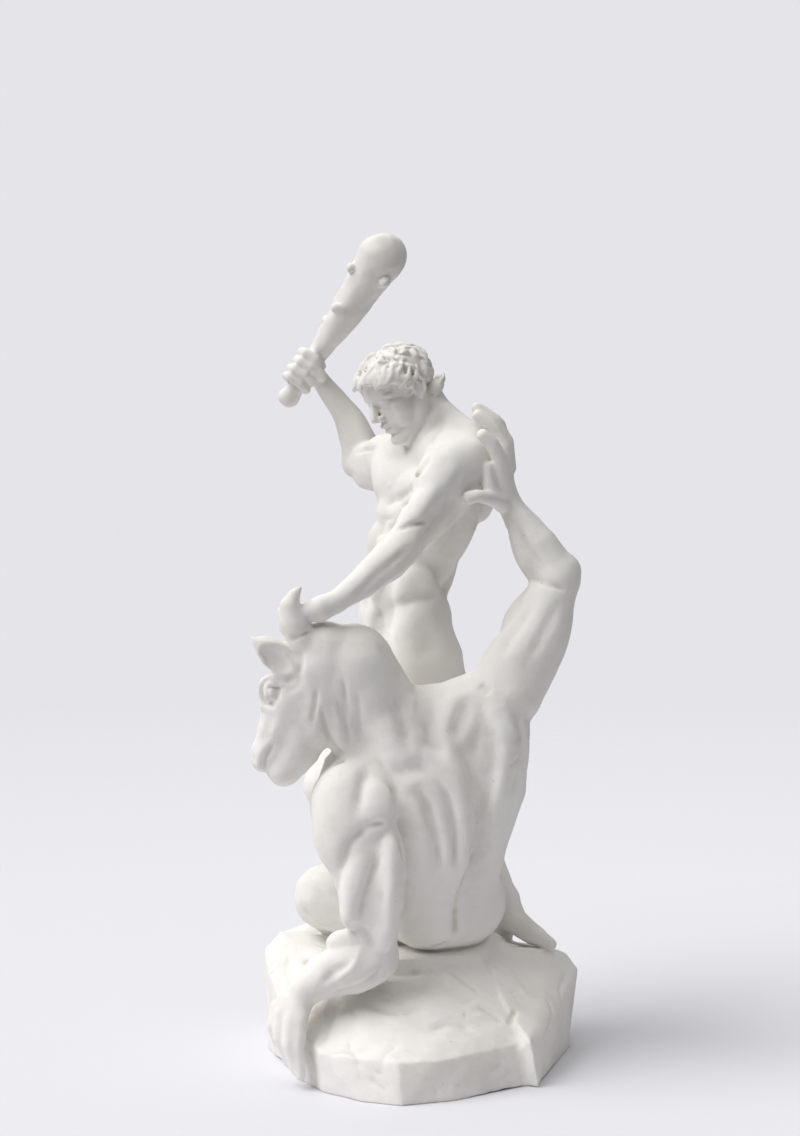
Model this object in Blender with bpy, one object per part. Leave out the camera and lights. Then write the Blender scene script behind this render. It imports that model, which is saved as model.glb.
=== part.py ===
"""A small cast group on a rock: a hero with a raised club holds a seated, bull-headed man by the horn.

The whole group is one casting, so it is one solid. Metres, +Z up. The viewer looks along +Y.
The origin is at the middle of the base's underside.

The forms are laid out on a picture plane, as a sculptor works from a drawing. A landmark is (across, down,
depth) in drawing units, and seen_from_front() turns it into a place in space. Depth grows away from us.
"""

import math
import random

import bmesh
import bpy
import numpy as np
from mathutils import Matrix

# The driving size. Everything else on the figures is a share of it.
STATUE_HEIGHT = 0.620

# The drawing: its size in drawing units, and the eye that it is drawn for.
DRAWN_HEIGHT = 824.0
UNIT = STATUE_HEIGHT / DRAWN_HEIGHT
EYE_DISTANCE, EYE_HEIGHT, EYE_ACROSS = 3200.0, 850.0, -20.0
PICTURE_MIDDLE = (400.0, 568.0)
PICTURE_DISTANCE = 3236.0
# How far the eye looks down
PITCH = math.radians(6.3835)

# The skin: voxel size and smoothing of the fused forms, and the number of flat facets that is left.
VOXEL = 2.6
SMOOTH_STEPS = 3
FACETS = 9300
BALL_DETAIL = 3
JOINT_DETAIL = 2

PLASTER_COLOUR = (0.80, 0.79, 0.765, 1.0)
PLASTER_ROUGHNESS = 0.82


def unit_vector(direction):
    direction = np.asarray(direction, float)
    return direction / np.linalg.norm(direction)


def seen_from_front(across, down, depth):
    """The place in space that the drawing shows at (across, down), at this depth."""
    right = across - PICTURE_MIDDLE[0]
    up = PICTURE_MIDDLE[1] - down
    away = PICTURE_DISTANCE * math.cos(PITCH) + up * math.sin(PITCH)
    rise = up * math.cos(PITCH) - PICTURE_DISTANCE * math.sin(PITCH)
    reach = (depth + EYE_DISTANCE) / away
    return np.array([EYE_ACROSS + reach * right, depth, EYE_HEIGHT + reach * rise])


def axes_of(forward, up):
    """The side, forward and up directions of a body part, as rows."""
    up = unit_vector(up)
    forward = unit_vector(np.asarray(forward, float) - np.dot(forward, up) * up)
    return np.array([np.cross(up, forward), forward, up])


class Station:
    """A place on a body with its own side, forward and up directions, and its own size."""

    def __init__(self, place, forward, up, size=1.0):
        self.place = np.asarray(place, float)
        self.axes = axes_of(forward, up)
        self.size = size

    def point(self, side, forward, up=0.0):
        return self.place + self.size * np.array([side, forward, up], float) @ self.axes

    def sized(self, length):
        return self.size * np.asarray(length, float)

    def direction(self, side, forward, up=0.0):
        return unit_vector(np.array([side, forward, up], float) @ self.axes)


class Spine:
    """A bent frame through stations, from the hips up. Height 1.5 is halfway from station 1 to station 2."""

    def __init__(self, stations):
        self.places = [seen_from_front(*place) for place, _ in stations]
        self.forwards = [np.array(forward) for _, forward in stations]

    def at(self, height):
        low = int(min(max(math.floor(height), 0), len(self.places) - 2))
        share = height - low
        place = self.places[low] * (1 - share) + self.places[low + 1] * share
        forward = self.forwards[low] * (1 - share) + self.forwards[low + 1] * share
        return Station(place, forward, self.places[low + 1] - self.places[low])


class Body:
    """Closed forms that overlap, gathered in one mesh."""

    def __init__(self):
        self.mesh = bmesh.new()
        sphere = bmesh.new()
        bmesh.ops.create_icosphere(sphere, subdivisions=JOINT_DETAIL, radius=1.0)
        self.sphere_points = np.array([vert.co for vert in sphere.verts])
        sphere.free()

    def ball(self, centre, radii, axes=None):
        turn = np.eye(3) if axes is None else np.asarray(axes)
        columns = turn.T * np.asarray(radii, float)
        place = Matrix([list(row) + [where] for row, where in zip(columns, centre)] + [[0, 0, 0, 1]])
        bmesh.ops.create_icosphere(self.mesh, subdivisions=BALL_DETAIL, radius=1.0, matrix=place)

    def belly(self, start, end, half_width, half_depth, facing):
        """A muscle: an ellipsoid from start to end, flattened along the way that it faces."""
        along = unit_vector(end - start)
        face = unit_vector(np.asarray(facing, float) - np.dot(facing, along) * along)
        radii = (np.linalg.norm(end - start) / 2, half_width, half_depth)
        self.ball((start + end) / 2, radii, np.array([along, np.cross(face, along), face]))

    def limb(self, joints):
        """A tapered tube through (place, radius) joints."""
        for (start, wide), (end, narrow) in zip(joints, joints[1:]):
            rings = [place + self.sphere_points * radius for place, radius in ((start, wide), (end, narrow))]
            self.slab(np.concatenate(rings))

    def slab(self, corners):
        """The convex block over these corners, such as a block of stone."""
        hull = bmesh.new()
        for corner in corners:
            hull.verts.new(corner)
        bmesh.ops.convex_hull(hull, input=hull.verts)
        bmesh.ops.delete(hull, geom=[vert for vert in hull.verts if not vert.link_faces], context="VERTS")
        bmesh.ops.recalc_face_normals(hull, faces=hull.faces)
        block = bpy.data.meshes.new("block")
        hull.to_mesh(block)
        hull.free()
        self.mesh.from_mesh(block)
        bpy.data.meshes.remove(block)

# Limbs are (across, down, depth, radius) joints.
# Muscles are start, end, half width, half depth and the way they face.
HERO_LEGS = {
    "limbs": {
        "left thigh": ((424, 664, 48, 38), (440, 712, 84, 36), (453, 760, 112, 26), (458, 782, 122, 22)),
        "left shin": ((458, 782, 122, 22), (470, 812, 112, 22), (488, 858, 88, 16), (507, 898, 70, 11)),
        "left foot": ((507, 898, 70, 12), (514, 920, 62, 14), (533, 934, 48, 11), (551, 944, 36, 6)),
        "left heel": ((506, 904, 74, 11), (503, 935, 76, 11)),
        "right thigh": ((396, 662, 92, 38), (372, 705, 84, 36), (342, 758, 62, 26), (325, 784, 54, 20)),
        "right shin": ((325, 785, 56, 19), (330, 815, 68, 20), (342, 862, 88, 16), (348, 905, 100, 11)),
        "right foot": ((348, 905, 100, 12), (330, 924, 96, 13), (305, 934, 88, 10), (288, 938, 84, 7)),
        "right heel": ((350, 905, 104, 11), (356, 932, 106, 12)),
    },
    "muscles": {
        "left outer thigh": ((430, 670, 30), (460, 774, 106), 24, 20, (0.6, -1, 0)),
        "left calf": ((468, 790, 130), (488, 862, 98), 17, 15, (0.3, 1, 0)),
        "right outer thigh": ((388, 680, 78), (328, 780, 42), 24, 20, (-1, -0.6, 0)),
        "right calf": ((336, 795, 78), (345, 868, 106), 16, 15, (0.4, 1, 0)),
    },
}
HERO_LEFT_ARM = {
    "limbs": {
        "shoulder": ((446, 458, 36, 30), (462, 463, 23, 29)),
        "upper arm": ((457, 468, 22, 28), (432, 508, -8, 21), (403, 546, -40, 17)),
        "forearm": ((403, 546, -40, 18), (388, 561, -50, 19.5), (361, 584, -66, 15), (336, 602, -78, 10.5)),
        "hand": ((336, 602, -78, 10.5), (320, 609, -84, 12.5), (306, 613, -86, 9)),
    },
    "muscles": {
        "deltoid": ((456, 444, 16), (424, 508, -22), 25, 20, (-0.4, -1, 0.2)),
        "back deltoid": ((474, 446, 34), (452, 508, 4), 18, 16, (1, -0.6, 0)),
        "triceps": ((466, 478, 26), (412, 546, -20), 18, 17, (1, 0, -0.6)),
        "biceps": ((440, 478, -12), (396, 540, -46), 16, 12, (-1, -0.6, 0.6)),
        "upper forearm": ((430, 520, -34), (352, 584, -74), 12, 9, (-0.5, -1, 0.8)),
        "lower forearm": ((414, 550, -30), (352, 596, -68), 12, 9, (0.5, -0.4, -0.8)),
    },
}
HERO_RIGHT_ARM = {
    "limbs": {
        "shoulder": ((414, 458, 90, 28), (398, 462, 112, 28)),
        "upper arm": ((398, 466, 112, 27), (376, 468, 150, 20), (358, 462, 190, 16)),
        "forearm": ((357, 463, 190, 15), (361, 443, 188, 18), (344, 411, 185, 13.5), (321, 381, 182, 9.5),
                    (314, 374, 181, 11)),
    },
    "muscles": {
        "deltoid": ((402, 446, 100), (368, 458, 162), 20, 18, (0, -0.4, 1)),
        "biceps": ((388, 462, 122), (360, 452, 184), 17, 15, (0, -0.4, 1)),
        "triceps": ((388, 482, 120), (358, 476, 188), 15, 13, (0, -0.3, -1)),
        "outer forearm": ((357, 468, 184), (344, 408, 184), 12, 11, (-1, -0.5, 0)),
        "inner forearm": ((372, 454, 178), (348, 404, 182), 12, 11, (1, -0.5, 0)),
    },
}
CLUB = {
    "limbs": {
        "club": ((289, 397, 187, 10.5), (297, 386, 184, 8), (308, 368, 181, 8.6), (318, 355, 178, 10.5),
                 (331, 336, 174, 13.5),
                 (346, 313, 168, 17), (364, 285, 160, 20.5), (380, 261, 153, 24.5), (382, 257, 152, 25)),
        "knot on the near side": ((384, 282, 140, 6.5), (385, 282, 136, 6)),
        "knot at the left": ((354, 268, 148, 6), (351, 268, 146, 5)),
        "middle knot": ((342, 310, 154, 7), (336, 308, 152, 5)),
        "far knot": ((330, 322, 186, 7), (327, 320, 190, 5)),
        "thumb": ((322, 376, 170, 6), (313, 362, 168, 5.4), (318, 348, 170, 4.6)),
        "first finger": ((322, 366, 176, 5.2), (316, 359, 167, 5.6), (306, 353, 168, 5.4),
                         (302, 352, 178, 5), (306, 355, 190, 4.6)),
        "second finger": ((317, 374, 176, 5.2), (311, 367, 167, 5.6), (301, 361, 168, 5.4),
                          (297, 360, 178, 5), (301, 363, 190, 4.6)),
        "third finger": ((311, 382, 176, 5), (305, 375, 167, 5.4), (295, 369, 168, 5.2),
                         (291, 368, 178, 4.8), (295, 371, 190, 4.4)),
        "little finger": ((306, 390, 176, 4.6), (300, 383, 167, 4.8), (290, 377, 168, 4.6),
                          (287, 376, 178, 4.4), (290, 379, 190, 4)),
    },
}
BULL_TRUNK = {
    "limbs": {
        "belly": ((440, 765, -34, 52), (452, 850, -26, 46), (448, 905, -20, 46)),
        "yoke": ((364, 782, -56, 44), (400, 732, -36, 44), (450, 722, -34, 40), (492, 700, -28, 34)),
        "left of the back": ((404, 775, -66, 42), (424, 815, -64, 42), (428, 866, -58, 40),
                             (430, 905, -46, 40)),
        "right of the back": ((492, 732, -36, 38), (484, 784, -34, 42), (471, 836, -30, 37),
                              (464, 884, -20, 30)),
        "left thigh": ((440, 905, -10, 44), (385, 898, -8, 42), (326, 896, 0, 32)),
        "left shin": ((322, 904, 8, 24), (350, 925, 40, 24), (400, 930, 60, 17), (425, 938, 72, 12)),
        "right thigh": ((466, 902, -4, 40), (462, 880, 50, 38), (455, 862, 92, 28)),
        "right shin": ((455, 862, 92, 26), (440, 890, 106, 23), (425, 925, 110, 15), (404, 938, 114, 9)),
    },
    "muscles": {
        "trapezius": ((382, 692, -58), (416, 796, -88), 27, 25, (0, -1, 0.2)),
        "right shoulder blade": ((474, 694, -52), (436, 760, -76), 26, 16, (0.2, -1, 0.3)),
        "left shoulder blade": ((372, 758, -84), (440, 790, -88), 26, 14, (0, -1, 0.2)),
        "upper left sweep": ((420, 748, -84), (470, 836, -80), 21, 19, (0.5, -1, 0)),
        "lower left sweep": ((462, 790, -82), (452, 912, -62), 16, 20, (0.5, -1, 0)),
        "middle ridge": ((420, 776, -100), (448, 866, -96), 9, 8, (0.2, -1, 0)),
        "left side": ((404, 800, -92), (424, 900, -86), 17, 14, (0, -1, 0)),
        "under the right blade": ((486, 702, -56), (498, 790, -66), 17, 16, (0.3, -1, 0)),
        "right flank": ((514, 706, -44), (506, 806, -50), 16, 22, (0.8, -1, 0)),
        "right side": ((508, 770, -56), (482, 866, -52), 14, 14, (0.5, -1, 0)),
        "top of the left thigh": ((430, 876, -22), (306, 884, -14), 24, 22, (0, -0.6, 1)),
        "under the left thigh": ((420, 918, -14), (304, 908, -8), 24, 26, (0, -1, -0.4)),
    },
    # centre, radii
    "masses": {
        "rib cage": ((440, 772, -30), (74, 52, 62)),
        "left buttock": ((430, 912, -40), (42, 38, 38)),
        "right buttock": ((468, 891, -14), (24, 34, 45)),
    },
}
BULL_LEFT_ARM = {
    "limbs": {
        "upper arm": ((352, 803, -82, 39), (356, 836, -90, 40), (368, 872, -100, 34),
                      (372, 905, -106, 29), (373, 940, -106, 24),
                      (373, 958, -104, 23)),
        "forearm": ((374, 958, -106, 23), (352, 966, -116, 27.5), (326, 976, -126, 21.5),
                    (306, 990, -132, 15.5)),
        "first finger": ((302, 996, -132, 12), (278, 1008, -124, 8), (274, 1024, -127, 6.5),
                         (278, 1042, -124, 5.2)),
        "second finger": ((302, 996, -132, 12), (284, 1014, -134, 8.3), (280, 1038, -137, 6.8),
                          (289, 1062, -134, 5.4)),
        "third finger": ((302, 996, -132, 12), (293, 1020, -142, 9.3), (290, 1044, -145, 7.8),
                         (297, 1070, -142, 6.2)),
        "little finger": ((302, 996, -132, 12), (301, 1020, -146, 7.5), (299, 1046, -149, 6),
                          (301, 1076, -146, 4.8)),
    },
    "muscles": {
        "deltoid": ((346, 764, -96), (338, 872, -116), 30, 24, (-0.4, -1, 0)),
        "back deltoid": ((376, 780, -104), (372, 842, -118), 24, 18, (0.2, -1, 0)),
        "long triceps": ((390, 822, -112), (385, 938, -122), 18, 20, (0.5, -1, 0)),
        "side triceps": ((364, 838, -120), (350, 930, -128), 16, 16, (-0.3, -1, 0)),
        "inner triceps": ((386, 874, -128), (384, 952, -126), 14, 12, (0, -1, 0)),
        "elbow": ((326, 943, -116), (364, 944, -121), 13, 12, (0, -1, 0)),
        "forearm": ((392, 966, -118), (326, 978, -138), 18, 14, (0, -1, -0.2)),
    },
    "masses": {"shoulder": ((352, 806, -84), (39, 37, 44))},
}
BULL_RIGHT_ARM = {
    "limbs": {
        "upper arm": ((508, 692, -28, 35), (532, 640, -14, 30), (556, 582, 8, 24)),
        "elbow": ((562, 578, 8, 17), (566, 570, 10, 14)),
        "forearm": ((555, 576, 10, 24), (538, 548, 14, 21.5), (520, 521, 19, 15), (509, 504, 22, 11.5)),
        "near palm": ((509, 504, 20, 11.5), (503, 486, 14, 9.5), (499, 467, 12, 9)),
        "middle of the palm": ((510, 504, 26, 11.5), (505, 485, 28, 10), (502, 463, 30, 9)),
        "far palm": ((509, 503, 32, 10.5), (504, 486, 42, 9.5), (503, 465, 46, 8)),
        "ball of the thumb": ((502, 503, 12, 9.5), (490, 490, 4, 7.4), (487, 468, 6, 6.4)),
        "thumb": ((500, 501, 8, 8.4), (488, 498, -5, 7), (478, 496, -12, 6.2), (469, 498, -13, 6.4)),
        "first finger": ((501, 474, 12, 8.2), (500, 458, 6, 7.4), (492, 443, 3, 7), (483, 435, 2, 6.4)),
        "second finger": ((506, 470, 30, 8.6), (504, 448, 30, 8), (494, 430, 32, 7.6), (478, 416, 34, 6.4)),
        "third finger": ((508, 468, 42, 8.6), (507, 441, 44, 7.6), (496, 421, 45, 7), (477, 408, 46, 6.2)),
        "little finger": ((508, 470, 54, 8), (507, 446, 58, 6.6), (500, 424, 59, 6.2), (484, 411, 57, 5.4)),
    },
    "muscles": {
        "deltoid": ((482, 698, -46), (540, 620, -18), 26, 20, (-0.4, -1, 0.3)),
        "triceps": ((518, 706, -40), (564, 596, 0), 24, 22, (0.8, -1, 0)),
        "biceps": ((508, 652, -12), (540, 590, 12), 19, 20, (-1, 0, 0.4)),
        "outer forearm": ((567, 574, 4), (528, 524, 12), 11, 12, (0.8, -0.8, 0.5)),
        "inner forearm": ((538, 584, 4), (514, 520, 14), 13, 13, (-0.8, -0.8, 0)),
    },
}
BULL_HEAD = {
    "limbs": {
        "neck": ((392, 738, -38, 48), (370, 702, -46, 45), (350, 669, -60, 45), (325, 665, -66, 39)),
        "skull": ((306, 668, -72, 29), (290, 700, -75, 25), (277, 730, -78, 19), (268, 750, -79, 15.5)),
        "cheek": ((318, 700, -73, 30), (306, 730, -76, 26), (293, 752, -78, 19)),
        "jaw": ((302, 750, -78, 18), (284, 769, -79, 17)),
        "muzzle": ((262, 753, -79, 12), (263, 760, -79, 12)),
        "throat": ((338, 720, -70, 26), (352, 742, -66, 20)),
        "near horn": ((302, 642, -84, 15), (294, 622, -88, 14), (290, 606, -90, 10), (294, 595, -90, 6),
                      (300, 588, -88, 2.4)),
        "far horn": ((306, 642, -48, 14), (290, 626, -42, 11), (284, 612, -38, 7), (286, 602, -36, 2.8)),
        "far ear": ((262, 640, -44, 2.4), (272, 650, -40, 7), (288, 660, -40, 9), (300, 668, -46, 9)),
        "root of the near ear": ((280, 660, -94, 9), (302, 672, -84, 12)),
        "tip of the near ear": ((251.5, 636, -93, 1.6), (256, 642, -93, 4.5), (268, 651, -93, 9)),
        "brow": ((266, 704, -84, 4.5), (262.5, 694, -83, 4.5), (264, 684, -86, 5), (271, 678, -91, 5),
                 (282, 681, -94, 6)),
        "cheek bone": ((264, 706, -84, 5), (276, 712, -90, 6), (292, 716, -90, 8)),
    },
    "muscles": {
        "near ear": ((256, 638, -93), (300, 674, -90), 14.5, 9, (0.3, -1, 0.2)),
    },
    "masses": {
        "eye": ((270.5, 692.5, -91), (5.4, 6, 7.2)),
        "crown": ((322, 647, -68), (32, 32, 26)),
    },
}

# Corners of the blocks of stone: right, away and up, in drawing units.
ROCK = {
    "front": ((-114, -105, 0), (-94, -152, 0), (-55, -188, 0), (-18, -202, 0), (34, -182, 0),
              (80, -150, 0), (114, -122, 0),
              (118, -98, 0), (-110, -20, 0), (110, -20, 0), (-112, -128, 52), (-98, -160, 40),
                  (-56, -180, 39.5), (-22, -194, 39.6),
              (15, -185, 39.2), (46, -166, 41), (80, -141, 40.5), (113, -113, 39), (120, -105, 44),
                  (-92, -110, 78), (-50, -92, 92),
              (31, -72, 100), (62, -90, 82), (88, -100, 66), (-80, -30, 100), (90, -30, 96)),
    "seat": ((-110, -60, 0), (100, -70, 0), (130, 60, 0), (100, 125, 0), (-100, 125, 0), (-130, 60, 0),
             (-62, -72, 108),
             (8, -76, 116), (60, -50, 112), (74, 16, 120), (-92, 16, 116), (96, 100, 90), (-92, 108, 92),
                 (0, 134, 88)),
    "right": ((60, -110, 0), (115, -138, 0), (138, -15, 0), (151, 16, 0), (150, 60, 0), (122, 118, 0),
              (60, 120, 0),
              (106, -136, 46), (121, -102, 44), (134, -50, 54), (156, 20, 62), (161, 40, 76),
                  (151, 50, 89), (140, 40, 97),
              (92, 18, 104), (66, 0, 112), (80, -84, 78), (112, -30, 84), (124, 100, 84), (60, 112, 92)),
    "left": ((-154, 16, 0), (-146, -20, 0), (-135, -57, 0), (-114, -108, 0), (-60, -110, 0), (-60, 80, 0),
             (-134, 104, 0),
             (-156, 4, 104), (-141, 4, 123), (-115, 22, 121), (-94, 22, 114), (-152, -24, 88),
                 (-142, -62, 66), (-112, -128, 44),
             (-98, -128, 66), (-74, -64, 104), (-84, 84, 98), (-136, 84, 92)),
}

SPINE_STATIONS = (
    ((409, 642, 72), (-0.93, -0.30, 0)),
    ((401, 582, 70), (-0.88, -0.42, 0)),
    ((429, 502, 64), (-0.82, -0.57, 0)),
    ((437, 452, 62), (-0.82, -0.57, 0)),
)
# (side, forward, height along the spine), radii to the side, forward and up
TORSO_MASSES = {
    "chest": ((0, 0, 2.0), (62, 45, 58)),
    "ribs": ((0, -2, 1.7), (51, 43, 41)),
    "waist": ((0, 4, 1.05), (44, 34, 54)),
    "hips": ((0, 2, 0.05), (50, 38, 44)),
}
TORSO_PAIRS = {
    "buttock": ((25, -11, -0.14), (30, 25, 33)),
    "hip": ((42, 2, 0.15), (20, 28, 36)),
    "top of the buttock": ((20, -17, 0.4), (27, 23, 38)),
    "pectoral": ((24, 33, 2.28), (28, 14, 23)),
    "outer pectoral": ((42, 24, 2.45), (24, 17, 20)),
    "shoulder blade": ((32, -35, 2.3), (27, 12, 28)),
}
# start, end, half width, half depth and the way it faces, on the left; the right is its mirror image
TORSO_MUSCLES = {
    "flank": ((50, -18, 2.3), (27, -24, 0.9), 17, 12, (1, -1)),
    "trapezius": ((4, -16, 3.2), (9, -42, 1.7), 16, 10, (0, -1)),
    "beside the spine": ((11, -36, 1.9), (13, -23, 0.4), 13, 10, (0, -1)),
    "side of the belly": ((40, 10, 1.3), (41, 6, 0.35), 24, 10, (1, 0.3)),
    "first rib strap": ((50, 24, 1.95), (58, -2, 2.1), 6, 5, (1, 0.5)),
    "second rib strap": ((50, 22, 1.8), (56, -2, 1.95), 6, 5, (1, 0.5)),
    "third rib strap": ((48, 20, 1.65), (54, -2, 1.8), 6, 5, (1, 0.5)),
    "upper belly": ((10, 39, 2.0), (10, 39, 1.6), 12, 8, (0, 1)),
    "middle belly": ((10, 39, 1.65), (10, 38, 1.2), 12, 8, (0, 1)),
    "belly at the navel": ((10, 38, 1.25), (10, 37, 0.8), 12, 8, (0, 1)),
    "lower belly": ((10, 37, 0.85), (7, 37, 0.0), 13, 9, (0, 1)),
}
HERO_NECK = {
    "limbs": {
        "neck": ((436, 458, 62, 29), (427, 426, 64, 24), (415, 405, 67, 19)),
        "nape": ((470, 446, 46, 23), (457, 436, 54, 22), (436, 413, 66, 17), (427, 396, 70, 15.5)),
    },
}

# The hero's head, 100 units from crown to chin, in its own (side, forward, up) from between the ears.
HEAD_PLACE, HEAD_SIZE = (402, 391, 62), 0.91
HEAD_FORWARD, HEAD_UP = (-0.74, -0.50, -0.44), (-0.48, -0.06, 0.87)
HEAD_MASSES = {
    "skull": ((0, -2, 14), (31, 38, 32)),
    "forehead": ((0, 16, 18), (25, 24, 22)),
    "face": ((0, 13, -8), (25, 26, 36)),
    "muzzle": ((0, 30, -26), (13, 10, 13)),
    "chin": ((0, 33, -43), (9, 9, 8)),
}
HEAD_PAIRS = {
    "cheekbone": ((17, 22, -7), (10, 11, 9)),
    "cheek": ((15, 19, -20), (12, 14, 16)),
    "eyeball": ((13.5, 29.5, 1), (7.4, 7.4, 6.6)),
    "nostril": ((4.6, 42, -13), (3.4, 4.6, 3.4)),
    "ear": ((30.5, -4, -1), (4.5, 8, 12)),
}
HEAD_LIMBS = {
    "nose": ((0, 36, 9, 4), (0, 41.5, 0, 3.8), (0, 47, -10.5, 4.6)),
    "upper lip": ((-9, 36, -25, 1.8), (-3, 40.4, -22.6, 2.8), (3, 40.4, -22.6, 2.8), (9, 36, -25, 1.8)),
    "lower lip": ((-7, 36.4, -29, 2), (0, 39.6, -29.4, 3.4), (7, 36.4, -29, 2)),
}
HEAD_PAIRED_LIMBS = {
    "jaw": ((24, -2, -14, 9), (20, 10, -33, 9), (5, 28, -44, 8)),
    "brow": ((3, 37, 8, 4), (12, 36.5, 10, 4.2), (23, 28, 7, 4)),
}
HAIR_CENTRE, HAIR_RADII = (0, 1, 16), (34, 42, 34)
# Rings of combed locks: angle down from the crown, and locks in the ring
HAIR_RINGS = ((0.10, 5), (0.34, 9), (0.60, 13), (0.86, 16), (1.12, 18), (1.38, 19), (1.64, 18))
# The hairline over the face falls from the brow to the ears
HAIRLINE, HAIRLINE_FALL, FACE_HALF_ANGLE = 1.24, 0.29, 1.46
EAR_ANGLE, EAR_HALF_ANGLE = 1.78, 0.24
FRINGE_LOCKS = 18
NAPE_CURLS, NAPE_ANGLE, NAPE_LIFT, NAPE_DOWN = 13, 2.28, 1.40, 2.34
HAIR_SEED = 7


def add_forms(body, forms):
    for joints in forms.get("limbs", {}).values():
        body.limb([(seen_from_front(*joint[:3]), joint[3]) for joint in joints])
    for start, end, half_width, half_depth, facing in forms.get("muscles", {}).values():
        body.belly(seen_from_front(*start), seen_from_front(*end), half_width, half_depth, facing)
    for centre, radii in forms.get("masses", {}).values():
        body.ball(seen_from_front(*centre), radii)


def hero_torso(body):
    spine = Spine(SPINE_STATIONS)
    for (side, forward, height), radii in TORSO_MASSES.values():
        station = spine.at(height)
        body.ball(station.point(side, forward), radii, station.axes)
    for left in (1, -1):
        for (side, forward, height), radii in TORSO_PAIRS.values():
            station = spine.at(height)
            body.ball(station.point(left * side, forward), radii, station.axes)
        for start, end, half_width, half_depth, (out, front) in TORSO_MUSCLES.values():
            ends = [spine.at(height).point(left * side, forward) for side, forward, height in (start, end)]
            body.belly(*ends, half_width, half_depth, spine.at(start[2]).direction(left * out, front))
    add_forms(body, HERO_NECK)
    add_forms(body, HERO_LEGS)


def hero_head(body):
    head = Station(seen_from_front(*HEAD_PLACE), HEAD_FORWARD, HEAD_UP, HEAD_SIZE)
    for centre, radii in HEAD_MASSES.values():
        body.ball(head.point(*centre), head.sized(radii), head.axes)
    for joints in HEAD_LIMBS.values():
        body.limb([(head.point(*joint[:3]), head.sized(joint[3])) for joint in joints])
    for left in (1, -1):
        for (side, forward, up), radii in HEAD_PAIRS.values():
            body.ball(head.point(left * side, forward, up), head.sized(radii), head.axes)
        for joints in HEAD_PAIRED_LIMBS.values():
            body.limb([(head.point(left * side, forward, up), head.sized(radius)) for side, forward, up,
                radius in joints])


def on_hair(head, down, around, reach=1.0):
    """A place on the cap of hair, by its angle down from the crown and its angle around from the front."""
    out = np.array([math.sin(down) * math.sin(around), math.sin(down) * math.cos(around), math.cos(down)])
    return head.point(*(np.array(HAIR_CENTRE) + out * HAIR_RADII * reach))


def hairline(around):
    """The angle down from the crown at which the hair ends, over the face."""
    return HAIRLINE + HAIRLINE_FALL * around * around


def lock_of_hair(body, head, down, around, length, width, turn, lift=1.0, lean=0.0):
    """A wavy tapering lock that runs down from its root and hooks round at its tip."""
    joints = []
    for share, bend, reach, thick in ((0, 0, 0.97, 0.7), (0.25, 0.5, 1.03, 1), (0.5, 0.1, 1.05, 1.05),
        (0.72, -0.4, 1.05, 0.95),
                                      (0.9, 0.2, 1.05, 0.75), (0.98, 1.2, 1.03, 0.55)):
        spread = max(math.sin(down + share * length), 0.3)
        side = around + lean * (1 - share) + turn * bend * 0.10 / spread
        place = on_hair(head, down + share * length, side, reach * (1 + (lift - 1) * share))
        joints.append((place, head.sized(width * thick)))
    body.limb(joints)


def curl_of_hair(body, head, down, around, size, turn, lift=1.02):
    """A small ring of hair, wound from its outer end to its raised middle."""
    spread = max(math.sin(down), 0.3)
    joints = []
    for step in range(7):
        share = step / 6
        angle = turn * (0.6 + 4.6 * share)
        reach = size * (1 - 0.95 * share) / HAIR_RADII[0]
        place = on_hair(head, down + reach * math.cos(angle), around + reach * math.sin(angle) / spread,
            lift + 0.05 * share)
        joints.append((place, head.sized(size * (0.42 - 0.1 * share))))
    body.limb(joints)


def hero_hair(body):
    """Combed locks from the crown, a thick curled fringe over the brow and a roll of curls round the nape."""
    head = Station(seen_from_front(*HEAD_PLACE), HEAD_FORWARD, HEAD_UP, HEAD_SIZE)
    chance = random.Random(HAIR_SEED)
    body.ball(head.point(*HAIR_CENTRE), head.sized(HAIR_RADII), head.axes)
    for ring, (down, count) in enumerate(HAIR_RINGS):
        for lock in range(count):
            around = math.tau * (lock + 0.5 * (ring % 2) + chance.uniform(-0.25, 0.25)) / count
            around = (around + math.pi) % math.tau - math.pi
            turn, start = chance.choice((1, -1)), down + chance.uniform(-0.08, 0.08)
            length, width = chance.uniform(0.42, 0.60), chance.uniform(3.0, 4.0)
            in_face = abs(around) < FACE_HALF_ANGLE and start + length > hairline(around) - 0.16
            on_ear = abs(abs(around) - EAR_ANGLE) < EAR_HALF_ANGLE and start + length > 1.62
            if not (in_face or on_ear):
                lock_of_hair(body, head, start, around, length, width, turn)
    roll = []
    for lock in range(2 * FRINGE_LOCKS - 1):
        around = FACE_HALF_ANGLE * (lock / (FRINGE_LOCKS - 1) - 1)
        turn, end = (-1 if around < 0 else 1), hairline(around)
        roll.append((on_hair(head, end - 0.16, around, 1.04), head.sized(6.0)))
        if lock % 2:
            curl_of_hair(body, head, end - chance.uniform(0.16, 0.40), around, chance.uniform(4.0, 5.2),
                -turn, 1.12)
        else:
            length, tip = chance.uniform(0.36, 0.62), end + chance.uniform(-0.05, 0.08)
            lock_of_hair(body, head, tip - length, around, length, chance.uniform(2.6, 3.6),
                turn * chance.choice((1, 1, -1)),
                         chance.uniform(1.10, 1.17), 0.5 * turn)
    body.limb(roll)
    roll = []
    for curl in range(NAPE_CURLS):
        around = NAPE_ANGLE + (math.tau - 2 * NAPE_ANGLE) * curl / (NAPE_CURLS - 1)
        roll.append((on_hair(head, NAPE_DOWN, around, NAPE_LIFT - 0.14), head.sized(7.0)))
        for down, size in ((NAPE_DOWN - 0.20, 5.2), (NAPE_DOWN, 5.6), (NAPE_DOWN + 0.20, 4.8)):
            turn = chance.choice((1, -1))
            lean = around + chance.uniform(-0.08, 0.08)
            curl_of_hair(body, head, down + chance.uniform(-0.06, 0.06), lean, size * chance.uniform(0.9,
                1.1), turn, NAPE_LIFT)
    body.limb(roll)


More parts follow.
